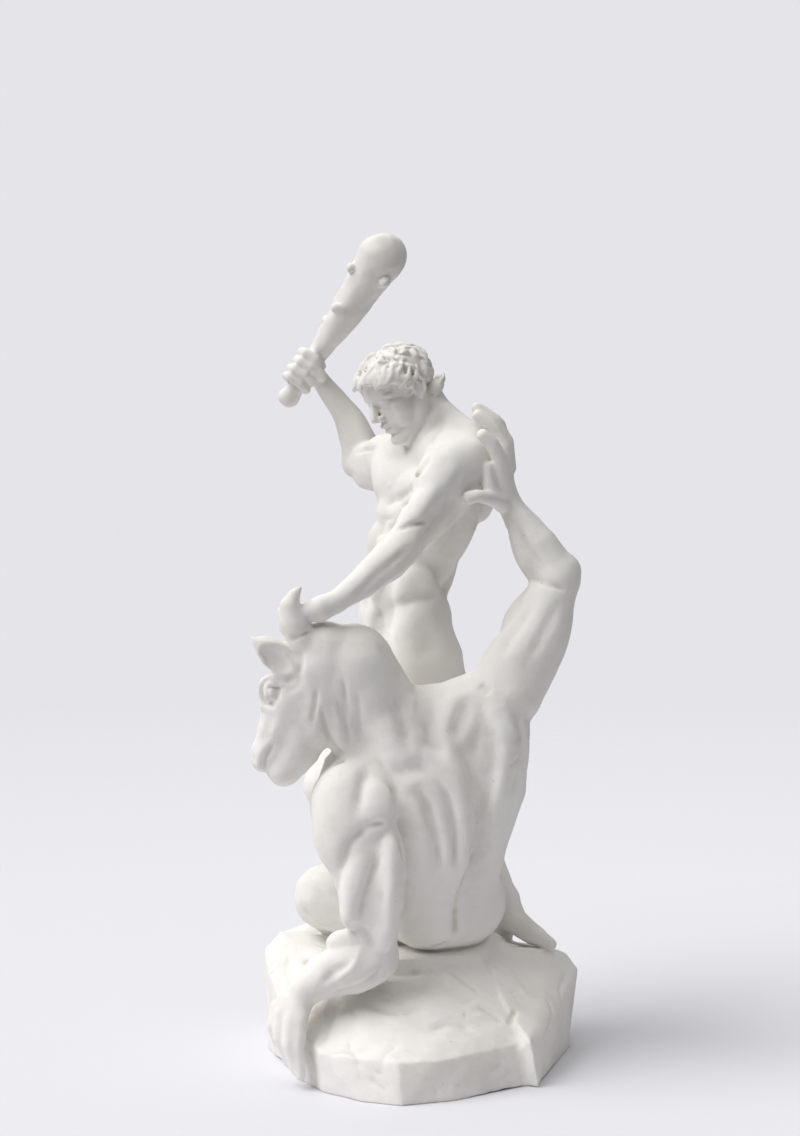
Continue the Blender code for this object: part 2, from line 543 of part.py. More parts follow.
def plaster():
    material = bpy.data.materials.new("plaster")
    material.use_nodes = True
    shader = material.node_tree.nodes["Principled BSDF"]
    shader.inputs["Base Color"].default_value = PLASTER_COLOUR
    shader.inputs["Roughness"].default_value = PLASTER_ROUGHNESS
    shader.inputs["Metallic"].default_value = 0.0
    material.diffuse_color = PLASTER_COLOUR
    return material


def floor_cutter():
    """A block under the floor, which leaves the base flat below."""
    mesh = bpy.data.meshes.new("floor cutter")
    block = bmesh.new()
    bmesh.ops.create_cube(block, size=STATUE_HEIGHT)
    bmesh.ops.translate(block, verts=block.verts, vec=(0, 0, -STATUE_HEIGHT / 2))
    block.to_mesh(mesh)
    block.free()
    cutter = bpy.data.objects.new("floor_cutter", mesh)
    cutter.hide_render = True
    cutter.display_type = "WIRE"
    bpy.context.scene.collection.objects.link(cutter)
    return cutter


def add_modifier(statue, kind, **settings):
    modifier = statue.modifiers.new(kind.lower(), kind)
    for name, value in settings.items():
        setattr(modifier, name, value)
    return modifier


def triangle_count(statue):
    graph = bpy.context.evaluated_depsgraph_get()
    mesh = statue.evaluated_get(graph).to_mesh()
    return sum(len(face.vertices) - 2 for face in mesh.polygons)


def main():
    for thing in list(bpy.data.objects):
        bpy.data.objects.remove(thing)

    body = Body()
    for corners in ROCK.values():
        body.slab(corners)
    hero_torso(body)
    hero_head(body)
    hero_hair(body)
    for forms in (HERO_LEFT_ARM, HERO_RIGHT_ARM, CLUB, BULL_TRUNK, BULL_LEFT_ARM, BULL_RIGHT_ARM, BULL_HEAD):
        add_forms(body, forms)

    mesh = bpy.data.meshes.new("theseus_and_minotaur")
    bmesh.ops.scale(body.mesh, vec=(UNIT, UNIT, UNIT), verts=body.mesh.verts)
    body.mesh.to_mesh(mesh)
    body.mesh.free()
    mesh.materials.append(plaster())
    statue = bpy.data.objects.new("theseus_and_minotaur", mesh)
    bpy.context.scene.collection.objects.link(statue)

    # Fuse the forms, soften where they meet, keep the facets that matter and cut the foot flat.
    add_modifier(statue, "REMESH", mode="VOXEL", voxel_size=VOXEL * UNIT, use_smooth_shade=True)
    add_modifier(statue, "SMOOTH", factor=0.5, iterations=SMOOTH_STEPS)
    bpy.context.view_layer.update()
    add_modifier(statue, "DECIMATE", ratio=FACETS / triangle_count(statue))
    add_modifier(statue, "BOOLEAN", object=floor_cutter(), operation="DIFFERENCE", solver="EXACT")


if __name__ == "__main__":
    main()
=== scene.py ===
"""A white plaster statuette group, sculpted as a distance field and finished in chalky casting plaster.

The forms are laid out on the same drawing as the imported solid. A landmark is (across, down, depth) in drawing
units, and seen_from_front() turns it into a place in space. Depth grows away from the viewer. One drawing unit is
UNIT metres.
"""

import math
import random

import bmesh
import bpy
import numpy as np
from bpy.props import FloatProperty, FloatVectorProperty, IntProperty, PointerProperty
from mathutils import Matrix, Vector


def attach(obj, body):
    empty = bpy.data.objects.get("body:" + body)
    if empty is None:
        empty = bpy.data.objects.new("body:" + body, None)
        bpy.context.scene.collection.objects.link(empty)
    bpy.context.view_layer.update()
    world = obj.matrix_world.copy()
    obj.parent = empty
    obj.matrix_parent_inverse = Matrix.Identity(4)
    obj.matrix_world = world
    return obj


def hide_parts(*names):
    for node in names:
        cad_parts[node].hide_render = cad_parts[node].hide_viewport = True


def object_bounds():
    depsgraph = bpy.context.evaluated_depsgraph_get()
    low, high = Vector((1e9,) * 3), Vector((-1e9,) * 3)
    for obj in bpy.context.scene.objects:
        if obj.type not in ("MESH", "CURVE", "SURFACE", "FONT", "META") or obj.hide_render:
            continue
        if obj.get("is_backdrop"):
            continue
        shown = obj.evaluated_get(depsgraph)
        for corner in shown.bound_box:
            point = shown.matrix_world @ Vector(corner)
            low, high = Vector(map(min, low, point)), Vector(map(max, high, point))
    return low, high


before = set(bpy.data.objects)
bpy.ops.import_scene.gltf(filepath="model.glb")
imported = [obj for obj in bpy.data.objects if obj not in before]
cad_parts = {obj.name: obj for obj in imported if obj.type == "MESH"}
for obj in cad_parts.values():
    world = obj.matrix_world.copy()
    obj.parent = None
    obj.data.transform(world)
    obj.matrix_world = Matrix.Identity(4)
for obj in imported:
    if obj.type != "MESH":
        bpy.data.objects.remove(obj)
CAD_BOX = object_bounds()

bl_info = {
    "name": "Plaster Statuette Group",
    "version": (1, 0, 0),
    "blender": (4, 5, 0),
    "location": "3D View > Sidebar > Statuette",
    "description": "Sculpts a hero and a bull-headed man on a rock, in casting plaster, with its stage",
    "category": "Object",
}

NODE = "theseus_and_minotaur"

# The drawing: its size in drawing units, and the eye that it is drawn for, which looks down by PITCH
STATUE_HEIGHT = 0.620
DRAWN_HEIGHT = 824.0
UNIT = STATUE_HEIGHT / DRAWN_HEIGHT
EYE_DISTANCE, EYE_HEIGHT, EYE_ACROSS = 3200.0, 850.0, -20.0
PICTURE_SIZE = (800.0, 1136.0)
PICTURE_MIDDLE = (400.0, 568.0)
PICTURE_DISTANCE = 3236.0
PITCH = math.radians(6.3835)

# The block of clay, in drawing units, and how finely it is cut.
CLAY_LOW, CLAY_HIGH = (-180, -222, -6), (180, 260, 850)
FINE_STEP, QUICK_STEP = 1.25, 2.5
TRIANGLES = 196000
# Passes that soften the skin before it is carved
SKIN_BLUR = 2
# Passes that average the clay round a place, and how far under the average a deep fold lies, for the painted shade in
# hollows
RECESS_BLUR, RECESS_DEPTH, RECESS_LIMIT = 8, 2.2, 12

# The corners of the box that each part is sculpted in
HERO_BOX = (-160, -140, 60), (180, 260, 850)
TORSO_BOX = (-160, -80, 60), (180, 250, 740)
HERO_LEFT_ARM_BOX = (-130, -130, 400), (110, 110, 660)
HERO_RIGHT_ARM_BOX = (-130, 40, 520), (40, 245, 740)
HEAD_BOX = (-100, -20, 570), (90, 170, 760)
CLUB_BOX = (-160, 80, 610), (20, 240, 850)
BULL_BOX = (-180, -222, -6), (180, 170, 700)
BULL_LEFT_ARM_BOX = (-160, -215, -5), (60, 20, 330)
BULL_RIGHT_ARM_BOX = (20, -120, 300), (180, 130, 700)
BULL_HEAD_BOX = (-180, -160, 220), (60, 60, 500)
ROCK_BOX = (-180, -222, -6), (180, 180, 140)
GROUND_BOX = (-300, -300, -20), (300, 300, 12)

# Where the light comes from, and over how many degrees
KEY_SOURCE, KEY_SPREAD = (-0.65, -0.2, 0.73), 50.0
TOP_SOURCE, TOP_SPREAD = (-0.1, 0.1, 1.0), 100.0
FILL_COLOUR = (1.0, 0.98, 0.935, 1.0)

# Limbs are (across, down, depth, radius) joints.
# Muscles are start, end, half width, half depth and the way they face.
HERO_LEGS = {
    "limbs": {
        "left thigh": ((424, 664, 48, 38), (440, 712, 84, 36), (453, 760, 112, 26), (458, 782, 122, 22)),
        "left shin": ((458, 782, 122, 22), (470, 812, 112, 22), (488, 858, 88, 16), (507, 898, 70, 11)),
        "left foot": ((507, 898, 70, 12), (514, 920, 62, 14), (533, 934, 48, 11), (551, 944, 36, 6)),
        "left heel": ((506, 904, 74, 11), (503, 935, 76, 11)),
        "right thigh": ((396, 662, 92, 38), (372, 705, 84, 36), (342, 758, 62, 26), (325, 784, 54, 20)),
        "right shin": ((325, 785, 56, 19), (330, 815, 68, 20), (342, 862, 88, 16), (348, 905, 100, 11)),
        "right foot": ((348, 905, 100, 12), (330, 924, 96, 13), (305, 934, 88, 10), (288, 938, 84, 7)),
        "right heel": ((350, 905, 104, 11), (356, 932, 106, 12)),
    },
    "muscles": {
        "left outer thigh": ((430, 670, 30), (460, 774, 106), 24, 20, (0.6, -1, 0)),
        "left calf": ((468, 790, 130), (488, 862, 98), 17, 15, (0.3, 1, 0)),
        "right outer thigh": ((388, 680, 78), (328, 780, 42), 24, 20, (-1, -0.6, 0)),
        "right calf": ((336, 795, 78), (345, 868, 106), 16, 15, (0.4, 1, 0)),
    },
}
HERO_LEFT_ARM = {
    "limbs": {
        "shoulder": ((446, 458, 36, 30), (462, 463, 23, 29)),
        "upper arm": ((457, 468, 22, 28), (432, 508, -8, 21), (403, 546, -40, 17)),
        "forearm": ((403, 546, -40, 18), (388, 561, -50, 19.5), (361, 584, -66, 15), (336, 602, -78, 10.5)),
        "hand": ((336, 602, -78, 10.5), (320, 609, -84, 12.5), (306, 613, -86, 9)),
    },
    "muscles": {
        "deltoid": ((456, 444, 16), (424, 508, -22), 25, 20, (-0.4, -1, 0.2)),
        "back deltoid": ((474, 446, 34), (452, 508, 4), 18, 16, (1, -0.6, 0)),
        "triceps": ((466, 478, 26), (412, 546, -20), 18, 17, (1, 0, -0.6)),
        "biceps": ((440, 478, -12), (396, 540, -46), 16, 12, (-1, -0.6, 0.6)),
        "upper forearm": ((430, 520, -34), (352, 584, -74), 12, 9, (-0.5, -1, 0.8)),
        "lower forearm": ((414, 550, -30), (352, 596, -68), 12, 9, (0.5, -0.4, -0.8)),
    },
}
HERO_RIGHT_ARM = {
    "limbs": {
        "shoulder": ((414, 458, 90, 28), (398, 462, 112, 28)),
        "upper arm": ((398, 466, 112, 27), (376, 468, 150, 20), (358, 462, 190, 16)),
        "forearm": ((357, 463, 190, 15), (361, 443, 188, 18), (344, 411, 185, 13.5), (321, 381, 182, 9.5),
                    (314, 374, 181, 11)),
    },
    "muscles": {
        "deltoid": ((402, 446, 100), (368, 458, 162), 20, 18, (0, -0.4, 1)),
        "biceps": ((388, 462, 122), (360, 452, 184), 17, 15, (0, -0.4, 1)),
        "triceps": ((388, 482, 120), (358, 476, 188), 15, 13, (0, -0.3, -1)),
        "outer forearm": ((357, 468, 184), (344, 408, 184), 12, 11, (-1, -0.5, 0)),
        "inner forearm": ((372, 454, 178), (348, 404, 182), 12, 11, (1, -0.5, 0)),
    },
}
CLUB = {
    "limbs": {
        "club": ((289, 397, 187, 10.5), (297, 386, 184, 8), (308, 368, 181, 8.6), (318, 355, 178, 10.5),
                 (331, 336, 174, 13.5), (346, 313, 168, 17), (364, 285, 160, 20.5), (380, 261, 153, 24.5),
                 (382, 257, 152, 25)),
        "knot on the near side": ((384, 282, 140, 6.5), (385, 282, 136, 6)),
        "knot at the left": ((354, 268, 148, 6), (351, 268, 146, 5)),
        "middle knot": ((342, 310, 154, 7), (336, 308, 152, 5)),
        "far knot": ((330, 322, 186, 7), (327, 320, 190, 5)),
        "thumb": ((322, 376, 170, 6), (313, 362, 168, 5.4), (318, 348, 170, 4.6)),
        "first finger": ((322, 366, 176, 5.2), (316, 359, 167, 5.6), (306, 353, 168, 5.4),
                         (302, 352, 178, 5), (306, 355, 190, 4.6)),
        "second finger": ((317, 374, 176, 5.2), (311, 367, 167, 5.6), (301, 361, 168, 5.4),
                          (297, 360, 178, 5), (301, 363, 190, 4.6)),
        "third finger": ((311, 382, 176, 5), (305, 375, 167, 5.4), (295, 369, 168, 5.2),
                         (291, 368, 178, 4.8), (295, 371, 190, 4.4)),
        "little finger": ((306, 390, 176, 4.6), (300, 383, 167, 4.8), (290, 377, 168, 4.6),
                          (287, 376, 178, 4.4), (290, 379, 190, 4)),
    },
}
BULL_TRUNK = {
    "limbs": {
        "belly": ((440, 765, -34, 52), (452, 850, -26, 46), (448, 905, -20, 46)),
        "yoke": ((364, 782, -56, 44), (400, 732, -36, 44), (450, 722, -34, 40), (492, 700, -28, 34)),
        "left of the back": ((404, 775, -66, 42), (424, 815, -64, 42), (428, 866, -58, 40),
                             (430, 905, -46, 40)),
        "right of the back": ((492, 732, -36, 38), (484, 784, -34, 42), (471, 836, -30, 37),
                              (464, 884, -20, 30)),
        "left thigh": ((440, 905, -10, 44), (385, 898, -8, 42), (326, 896, 0, 32)),
        "left shin": ((322, 904, 8, 24), (350, 925, 40, 24), (400, 930, 60, 17), (425, 938, 72, 12)),
        "right thigh": ((466, 902, -4, 40), (462, 880, 50, 38), (455, 862, 92, 28)),
        "right shin": ((455, 862, 92, 26), (440, 890, 106, 23), (425, 925, 110, 15), (404, 938, 114, 9)),
    },
    "muscles": {
        "trapezius": ((382, 692, -58), (416, 796, -88), 27, 25, (0, -1, 0.2)),
        "right shoulder blade": ((474, 694, -52), (436, 760, -76), 26, 16, (0.2, -1, 0.3)),
        "left shoulder blade": ((372, 758, -84), (440, 790, -88), 26, 14, (0, -1, 0.2)),
        "upper left sweep": ((420, 748, -84), (470, 836, -80), 21, 19, (0.5, -1, 0)),
        "lower left sweep": ((462, 790, -82), (452, 912, -62), 16, 20, (0.5, -1, 0)),
        "middle ridge": ((420, 776, -100), (448, 866, -96), 9, 8, (0.2, -1, 0)),
        "left side": ((404, 800, -92), (424, 900, -86), 17, 14, (0, -1, 0)),
        "under the right blade": ((486, 702, -56), (498, 790, -66), 17, 16, (0.3, -1, 0)),
        "right flank": ((514, 706, -44), (506, 806, -50), 16, 22, (0.8, -1, 0)),
        "right side": ((508, 770, -56), (482, 866, -52), 14, 14, (0.5, -1, 0)),
        "top of the left thigh": ((430, 876, -22), (306, 884, -14), 24, 22, (0, -0.6, 1)),
        "under the left thigh": ((420, 918, -14), (304, 908, -8), 24, 26, (0, -1, -0.4)),
    },
    # centre, radii
    "masses": {
        "rib cage": ((440, 772, -30), (74, 52, 62)),
        "left buttock": ((430, 912, -40), (42, 38, 38)),
        "right buttock": ((468, 891, -14), (24, 34, 45)),
    },
}
BULL_LEFT_ARM = {
    "limbs": {
        "upper arm": ((352, 803, -82, 39), (356, 836, -90, 40), (368, 872, -100, 34), (372, 905, -106, 29),
                      (373, 940, -106, 24), (373, 958, -104, 23)),
        "forearm": ((374, 958, -106, 23), (352, 966, -116, 27.5), (326, 976, -126, 21.5),
                    (306, 990, -132, 15.5)),
        "first finger": ((302, 996, -132, 12), (278, 1008, -124, 8), (274, 1024, -127, 6.5),
                         (278, 1042, -124, 5.2)),
        "second finger": ((302, 996, -132, 12), (284, 1014, -134, 8.3), (280, 1038, -137, 6.8),
                          (289, 1062, -134, 5.4)),
        "third finger": ((302, 996, -132, 12), (293, 1020, -142, 9.3), (290, 1044, -145, 7.8),
                         (297, 1070, -142, 6.2)),
        "little finger": ((302, 996, -132, 12), (301, 1020, -146, 7.5), (299, 1046, -149, 6),
                          (301, 1076, -146, 4.8)),
    },
    "muscles": {
        "deltoid": ((346, 764, -96), (338, 872, -116), 30, 24, (-0.4, -1, 0)),
        "back deltoid": ((376, 780, -104), (372, 842, -118), 24, 18, (0.2, -1, 0)),
        "long triceps": ((390, 822, -112), (385, 938, -122), 18, 20, (0.5, -1, 0)),
        "side triceps": ((364, 838, -120), (350, 930, -128), 16, 16, (-0.3, -1, 0)),
        "inner triceps": ((386, 874, -128), (384, 952, -126), 14, 12, (0, -1, 0)),
        "elbow": ((326, 943, -116), (364, 944, -121), 13, 12, (0, -1, 0)),
        "forearm": ((392, 966, -118), (326, 978, -138), 18, 14, (0, -1, -0.2)),
    },
    "masses": {"shoulder": ((352, 806, -84), (39, 37, 44))},
}
BULL_RIGHT_ARM = {
    "limbs": {
        "upper arm": ((508, 692, -28, 35), (532, 640, -14, 30), (556, 582, 8, 24)),
        "elbow": ((562, 578, 8, 17), (566, 570, 10, 14)),
        "forearm": ((555, 576, 10, 24), (538, 548, 14, 21.5), (520, 521, 19, 15), (509, 504, 22, 11.5)),
        "near palm": ((509, 504, 20, 11.5), (503, 486, 14, 9.5), (499, 467, 12, 9)),
        "middle of the palm": ((510, 504, 26, 11.5), (505, 485, 28, 10), (502, 463, 30, 9)),
        "far palm": ((509, 503, 32, 10.5), (504, 486, 42, 9.5), (503, 465, 46, 8)),
        "ball of the thumb": ((502, 503, 12, 9.5), (490, 490, 4, 7.4), (487, 468, 6, 6.4)),
        "thumb": ((500, 501, 8, 8.4), (488, 498, -5, 7), (478, 496, -12, 6.2), (469, 498, -13, 6.4)),
        "first finger": ((501, 474, 12, 8.2), (500, 458, 6, 7.4), (492, 443, 3, 7), (483, 435, 2, 6.4)),
        "second finger": ((506, 470, 30, 8.6), (504, 448, 30, 8), (494, 430, 32, 7.6), (478, 416, 34, 6.4)),
        "third finger": ((508, 468, 42, 8.6), (507, 441, 44, 7.6), (496, 421, 45, 7), (477, 408, 46, 6.2)),
        "little finger": ((508, 470, 54, 8), (507, 446, 58, 6.6), (500, 424, 59, 6.2), (484, 411, 57, 5.4)),
    },
    "muscles": {
        "deltoid": ((482, 698, -46), (540, 620, -18), 26, 20, (-0.4, -1, 0.3)),
        "triceps": ((518, 706, -40), (564, 596, 0), 24, 22, (0.8, -1, 0)),
        "biceps": ((508, 652, -12), (540, 590, 12), 19, 20, (-1, 0, 0.4)),
        "outer forearm": ((567, 574, 4), (528, 524, 12), 11, 12, (0.8, -0.8, 0.5)),
        "inner forearm": ((538, 584, 4), (514, 520, 14), 13, 13, (-0.8, -0.8, 0)),
    },
}
BULL_HEAD = {
    "limbs": {
        "neck": ((392, 738, -38, 48), (370, 702, -46, 45), (350, 669, -60, 45), (325, 665, -66, 39)),
        "skull": ((306, 668, -72, 29), (290, 700, -75, 25), (277, 730, -78, 19), (268, 750, -79, 15.5)),
        "cheek": ((318, 700, -73, 30), (306, 730, -76, 26), (293, 752, -78, 19)),
        "jaw": ((302, 750, -78, 18), (284, 769, -79, 17)),
        "muzzle": ((262, 753, -79, 12), (263, 760, -79, 12)),
        "throat": ((338, 720, -70, 26), (352, 742, -66, 20)),
        "near horn": ((302, 642, -84, 15), (294, 622, -88, 14), (290, 606, -90, 10), (294, 595, -90, 6),
                      (300, 588, -88, 2.4)),
        "far horn": ((306, 642, -48, 14), (290, 626, -42, 11), (284, 612, -38, 7), (286, 602, -36, 2.8)),
        "far ear": ((262, 640, -44, 2.4), (272, 650, -40, 7), (288, 660, -40, 9), (300, 668, -46, 9)),
        "root of the near ear": ((280, 660, -94, 9), (302, 672, -84, 12)),
        "tip of the near ear": ((251.5, 636, -93, 1.6), (256, 642, -93, 4.5), (268, 651, -93, 9)),
        "brow": ((266, 704, -84, 4.5), (262.5, 694, -83, 4.5), (264, 684, -86, 5), (271, 678, -91, 5),
                 (282, 681, -94, 6)),
        "cheek bone": ((264, 706, -84, 5), (276, 712, -90, 6), (292, 716, -90, 8)),
    },
    "muscles": {
        "near ear": ((256, 638, -93), (300, 674, -90), 14.5, 9, (0.3, -1, 0.2)),
    },
    "masses": {
        "eye": ((270.5, 692.5, -91), (5.4, 6, 7.2)),
        "crown": ((322, 647, -68), (32, 32, 26)),
    },
}

# Corners of the blocks of stone: right, away and up, in drawing units.
ROCK = {
    "front": ((-114, -105, 0), (-94, -152, 0), (-55, -188, 0), (-18, -202, 0), (34, -182, 0),
              (80, -150, 0), (114, -122, 0), (118, -98, 0), (-110, -20, 0), (110, -20, 0),
              (-112, -128, 52), (-98, -160, 40), (-56, -180, 39.5), (-22, -194, 39.6), (15, -185, 39.2),
              (46, -166, 41), (80, -141, 40.5), (113, -113, 39), (120, -105, 44), (-92, -110, 78),
              (-50, -92, 92), (31, -72, 100), (62, -90, 82), (88, -100, 66), (-80, -30, 100), (90, -30, 96)),
    "seat": ((-110, -60, 0), (100, -70, 0), (130, 60, 0), (100, 125, 0), (-100, 125, 0), (-130, 60, 0),
             (-62, -72, 108), (8, -76, 116), (60, -50, 112), (74, 16, 120), (-92, 16, 116), (96, 100, 90),
             (-92, 108, 92), (0, 134, 88)),
    "right": ((60, -110, 0), (115, -138, 0), (138, -15, 0), (151, 16, 0), (150, 60, 0), (122, 118, 0),
              (60, 120, 0), (106, -136, 46), (121, -102, 44), (134, -50, 54), (156, 20, 62), (161, 40, 76),
              (151, 50, 89), (140, 40, 97), (92, 18, 104), (66, 0, 112), (80, -84, 78), (112, -30, 84),
              (124, 100, 84), (60, 112, 92)),
    "left": ((-154, 16, 0), (-146, -20, 0), (-135, -57, 0), (-114, -108, 0), (-60, -110, 0), (-60, 80, 0),
             (-134, 104, 0), (-156, 4, 104), (-141, 4, 123), (-115, 22, 121), (-94, 22, 114),
             (-152, -24, 88), (-142, -62, 66), (-112, -128, 44), (-98, -128, 66), (-74, -64, 104),
             (-84, 84, 98), (-136, 84, 92)),
}

SPINE_STATIONS = (
    ((409, 642, 72), (-0.93, -0.30, 0)),
    ((401, 582, 70), (-0.88, -0.42, 0)),
    ((429, 502, 64), (-0.82, -0.57, 0)),
    ((437, 452, 62), (-0.82, -0.57, 0)),
)
# (side, forward, height along the spine), radii to the side, forward and up
TORSO_MASSES = {
    "chest": ((0, 0, 2.0), (62, 45, 58)),
    "ribs": ((0, -2, 1.7), (51, 43, 41)),
    "waist": ((0, 4, 1.05), (44, 34, 54)),
    "hips": ((0, 2, 0.05), (50, 38, 44)),
}
TORSO_PAIRS = {
    "buttock": ((25, -11, -0.14), (30, 25, 33)),
    "hip": ((42, 2, 0.15), (20, 28, 36)),
    "top of the buttock": ((20, -17, 0.4), (27, 23, 38)),
    "pectoral": ((24, 33, 2.28), (28, 14, 23)),
    "outer pectoral": ((42, 24, 2.45), (24, 17, 20)),
    "shoulder blade": ((32, -35, 2.3), (27, 12, 28)),
}
# start, end, half width, half depth and the way it faces, on the left; the right is its mirror image
TORSO_MUSCLES = {
    "flank": ((50, -18, 2.3), (27, -24, 0.9), 17, 12, (1, -1)),
    "trapezius": ((4, -16, 3.2), (9, -42, 1.7), 16, 10, (0, -1)),
    "beside the spine": ((11, -36, 1.9), (13, -23, 0.4), 13, 10, (0, -1)),
    "side of the belly": ((40, 10, 1.3), (41, 6, 0.35), 24, 10, (1, 0.3)),
    "first rib strap": ((50, 24, 1.95), (58, -2, 2.1), 6, 5, (1, 0.5)),
    "second rib strap": ((50, 22, 1.8), (56, -2, 1.95), 6, 5, (1, 0.5)),
    "third rib strap": ((48, 20, 1.65), (54, -2, 1.8), 6, 5, (1, 0.5)),
    "upper belly": ((10, 39, 2.0), (10, 39, 1.6), 12, 8, (0, 1)),
    "middle belly": ((10, 39, 1.65), (10, 38, 1.2), 12, 8, (0, 1)),
    "belly at the navel": ((10, 38, 1.25), (10, 37, 0.8), 12, 8, (0, 1)),
    "lower belly": ((10, 37, 0.85), (7, 37, 0.0), 13, 9, (0, 1)),
}
HERO_NECK = {
    "limbs": {
        "neck": ((436, 458, 62, 29), (427, 426, 64, 24), (415, 405, 67, 19)),
        "nape": ((470, 446, 46, 23), (457, 436, 54, 22), (436, 413, 66, 17), (427, 396, 70, 15.5)),
    },
}

# The hero's head, 100 units from crown to chin, in its own (side, forward, up) from between the ears.
HEAD_PLACE, HEAD_SIZE = (402, 391, 62), 0.91
HEAD_FORWARD, HEAD_UP = (-0.74, -0.50, -0.44), (-0.48, -0.06, 0.87)
HEAD_MASSES = {
    "skull": ((0, -2, 14), (31, 38, 32)),
    "forehead": ((0, 16, 18), (25, 24, 22)),
    "face": ((0, 13, -8), (25, 26, 36)),
    "muzzle": ((0, 30, -26), (13, 10, 13)),
    "chin": ((0, 33, -43), (9, 9, 8)),
}
HEAD_PAIRS = {
    "cheekbone": ((17, 22, -7), (10, 11, 9)),
    "cheek": ((15, 19, -20), (12, 14, 16)),
    "eyeball": ((13.5, 29.5, 1), (7.4, 7.4, 6.6)),
    "nostril": ((4.6, 42, -13), (3.4, 4.6, 3.4)),
    "ear": ((30.5, -4, -1), (4.5, 8, 12)),
}
HEAD_LIMBS = {
    "nose": ((0, 36, 9, 4), (0, 41.5, 0, 3.8), (0, 47, -10.5, 4.6)),
    "upper lip": ((-9, 36, -25, 1.8), (-3, 40.4, -22.6, 2.8), (3, 40.4, -22.6, 2.8), (9, 36, -25, 1.8)),
    "lower lip": ((-7, 36.4, -29, 2), (0, 39.6, -29.4, 3.4), (7, 36.4, -29, 2)),
}
HEAD_PAIRED_LIMBS = {
    "jaw": ((24, -2, -14, 9), (20, 10, -33, 9), (5, 28, -44, 8)),
    "brow": ((3, 37, 8, 4), (12, 36.5, 10, 4.2), (23, 28, 7, 4)),
}
HAIR_CENTRE, HAIR_RADII = (0, 1, 16), (34, 42, 34)
HAIR_SEED = 7
# The cap of hair counts as this wide at the crown, where it has no width
CROWN_WIDTH = 0.3
# Rings of combed locks: angle down from the crown, and locks in the ring
HAIR_RINGS = ((0.10, 5), (0.34, 9), (0.60, 13), (0.86, 16), (1.12, 18), (1.38, 19), (1.64, 18))
LOCK_LENGTHS, LOCK_WIDTHS = (0.42, 0.60), (3.0, 4.0)
# Along a lock: share of its length, bend to the side, reach over the cap, share of its width
LOCK_SHAPE = ((0, 0, 0.97, 0.7), (0.25, 0.5, 1.03, 1), (0.5, 0.1, 1.05, 1.05), (0.72, -0.4, 1.05, 0.95),
              (0.9, 0.2, 1.05, 0.75), (0.98, 1.2, 1.03, 0.55))
# The hairline over the face falls from the brow to the ears
HAIRLINE, HAIRLINE_FALL, FACE_HALF_ANGLE = 1.24, 0.29, 1.46
EAR_ANGLE, EAR_HALF_ANGLE, EAR_TOP = 1.78, 0.24, 1.62
FRINGE_LOCKS, FRINGE_RISE, FRINGE_ROLL = 18, 0.16, 6.0
FRINGE_CURLS, FRINGE_LENGTHS, FRINGE_WIDTHS, FRINGE_LIFTS = (4.0, 5.2), (0.36, 0.62), (2.6, 3.6), (1.10, 1.17)
NAPE_CURLS, NAPE_ANGLE, NAPE_LIFT, NAPE_DOWN, NAPE_ROLL = 19, 2.34, 1.40, 2.34, 7.0
# Rows of nape curls: angle down from the crown, size
NAPE_ROWS = ((NAPE_DOWN - 0.17, 4.0), (NAPE_DOWN, 4.4), (NAPE_DOWN + 0.17, 3.8))
# Along a strand: share of its length, bend to the side
STRAND_SHAPE = ((0, 0), (0.35, 0.7), (0.7, -0.3), (1, 0.4))
STRANDS, STRAND_SEED, STRAND_REACH, STRAND_WIDTH, STRAND_DEPTH = 360, 9, 1.07, 1.5, 0.9

# On each side of the face: centre, radii, softening, and whether it is cut out
FACE_FORMS = {
    "eye socket": ((13, 38.5, 2.5), (9, 5.5, 6), 3, True),
    "inner corner": ((6.5, 38, 1.5), (4, 5, 5), 3, True),
    "eyeball": ((13.5, 29.5, 1), (7.4, 7.4, 6.6), 0.5, False),
    "ear": ((32.5, -4, -1), (4.5, 8, 12), 1, False),
}
FACE_RIMS = {
    "upper lid": ((6.6, 34, -0.6, 1.2), (10, 36.6, 3.4, 1.5), (14.6, 36.6, 4.0, 1.6), (20.4, 32.4, 0.4, 1.3)),
    "lower lid": ((6.8, 34, -1.2, 1.0), (11.5, 35.8, -3.4, 1.2), (16.5, 34.8, -3.2, 1.2), (20.4, 32.2, -0.4, 1.1)),
    "ear rim": ((36, 4.5, -2, 1.8), (37, 4.5, 6, 1.9), (38, 0, 11, 2.1), (39, -6, 9.5, 2.2), (39, -9, 2, 2.2),
                (37, -6.5, -7, 2), (35, 0, -11.5, 2.8)),
    "ear fold": ((37.5, -1, 6.5, 1.3), (38, -3, 1.5, 1.4), (36.5, -0.5, -5.5, 1.3)),
}
FACE_RIM_BLEND = 0.8
FACE_HOLES = {
    "ear": ((38, 1.5, -2), (3.5, 2.6, 5)),
    "nostril": ((3.4, 44.5, -16), (1.6, 2.4, 1.4)),
}
# Lines pressed into the middle of the face: points, half width, depth
FACE_LINES = {
    "mouth": (((-9.5, 36.5, -26.2), (-4, 41.5, -26.2), (0, 42.5, -26.2), (4, 41.5, -26.2), (9.5, 36.5, -26.2)),
              1.4, 2.2),
    "under the lip": (((-5, 40, -34.5), (0, 40, -34.5), (5, 40, -34.5)), 2.6, 2),
    "above the lip": (((0, 42, -16.5), (0, 42, -20.5)), 1.4, 0.8),
}
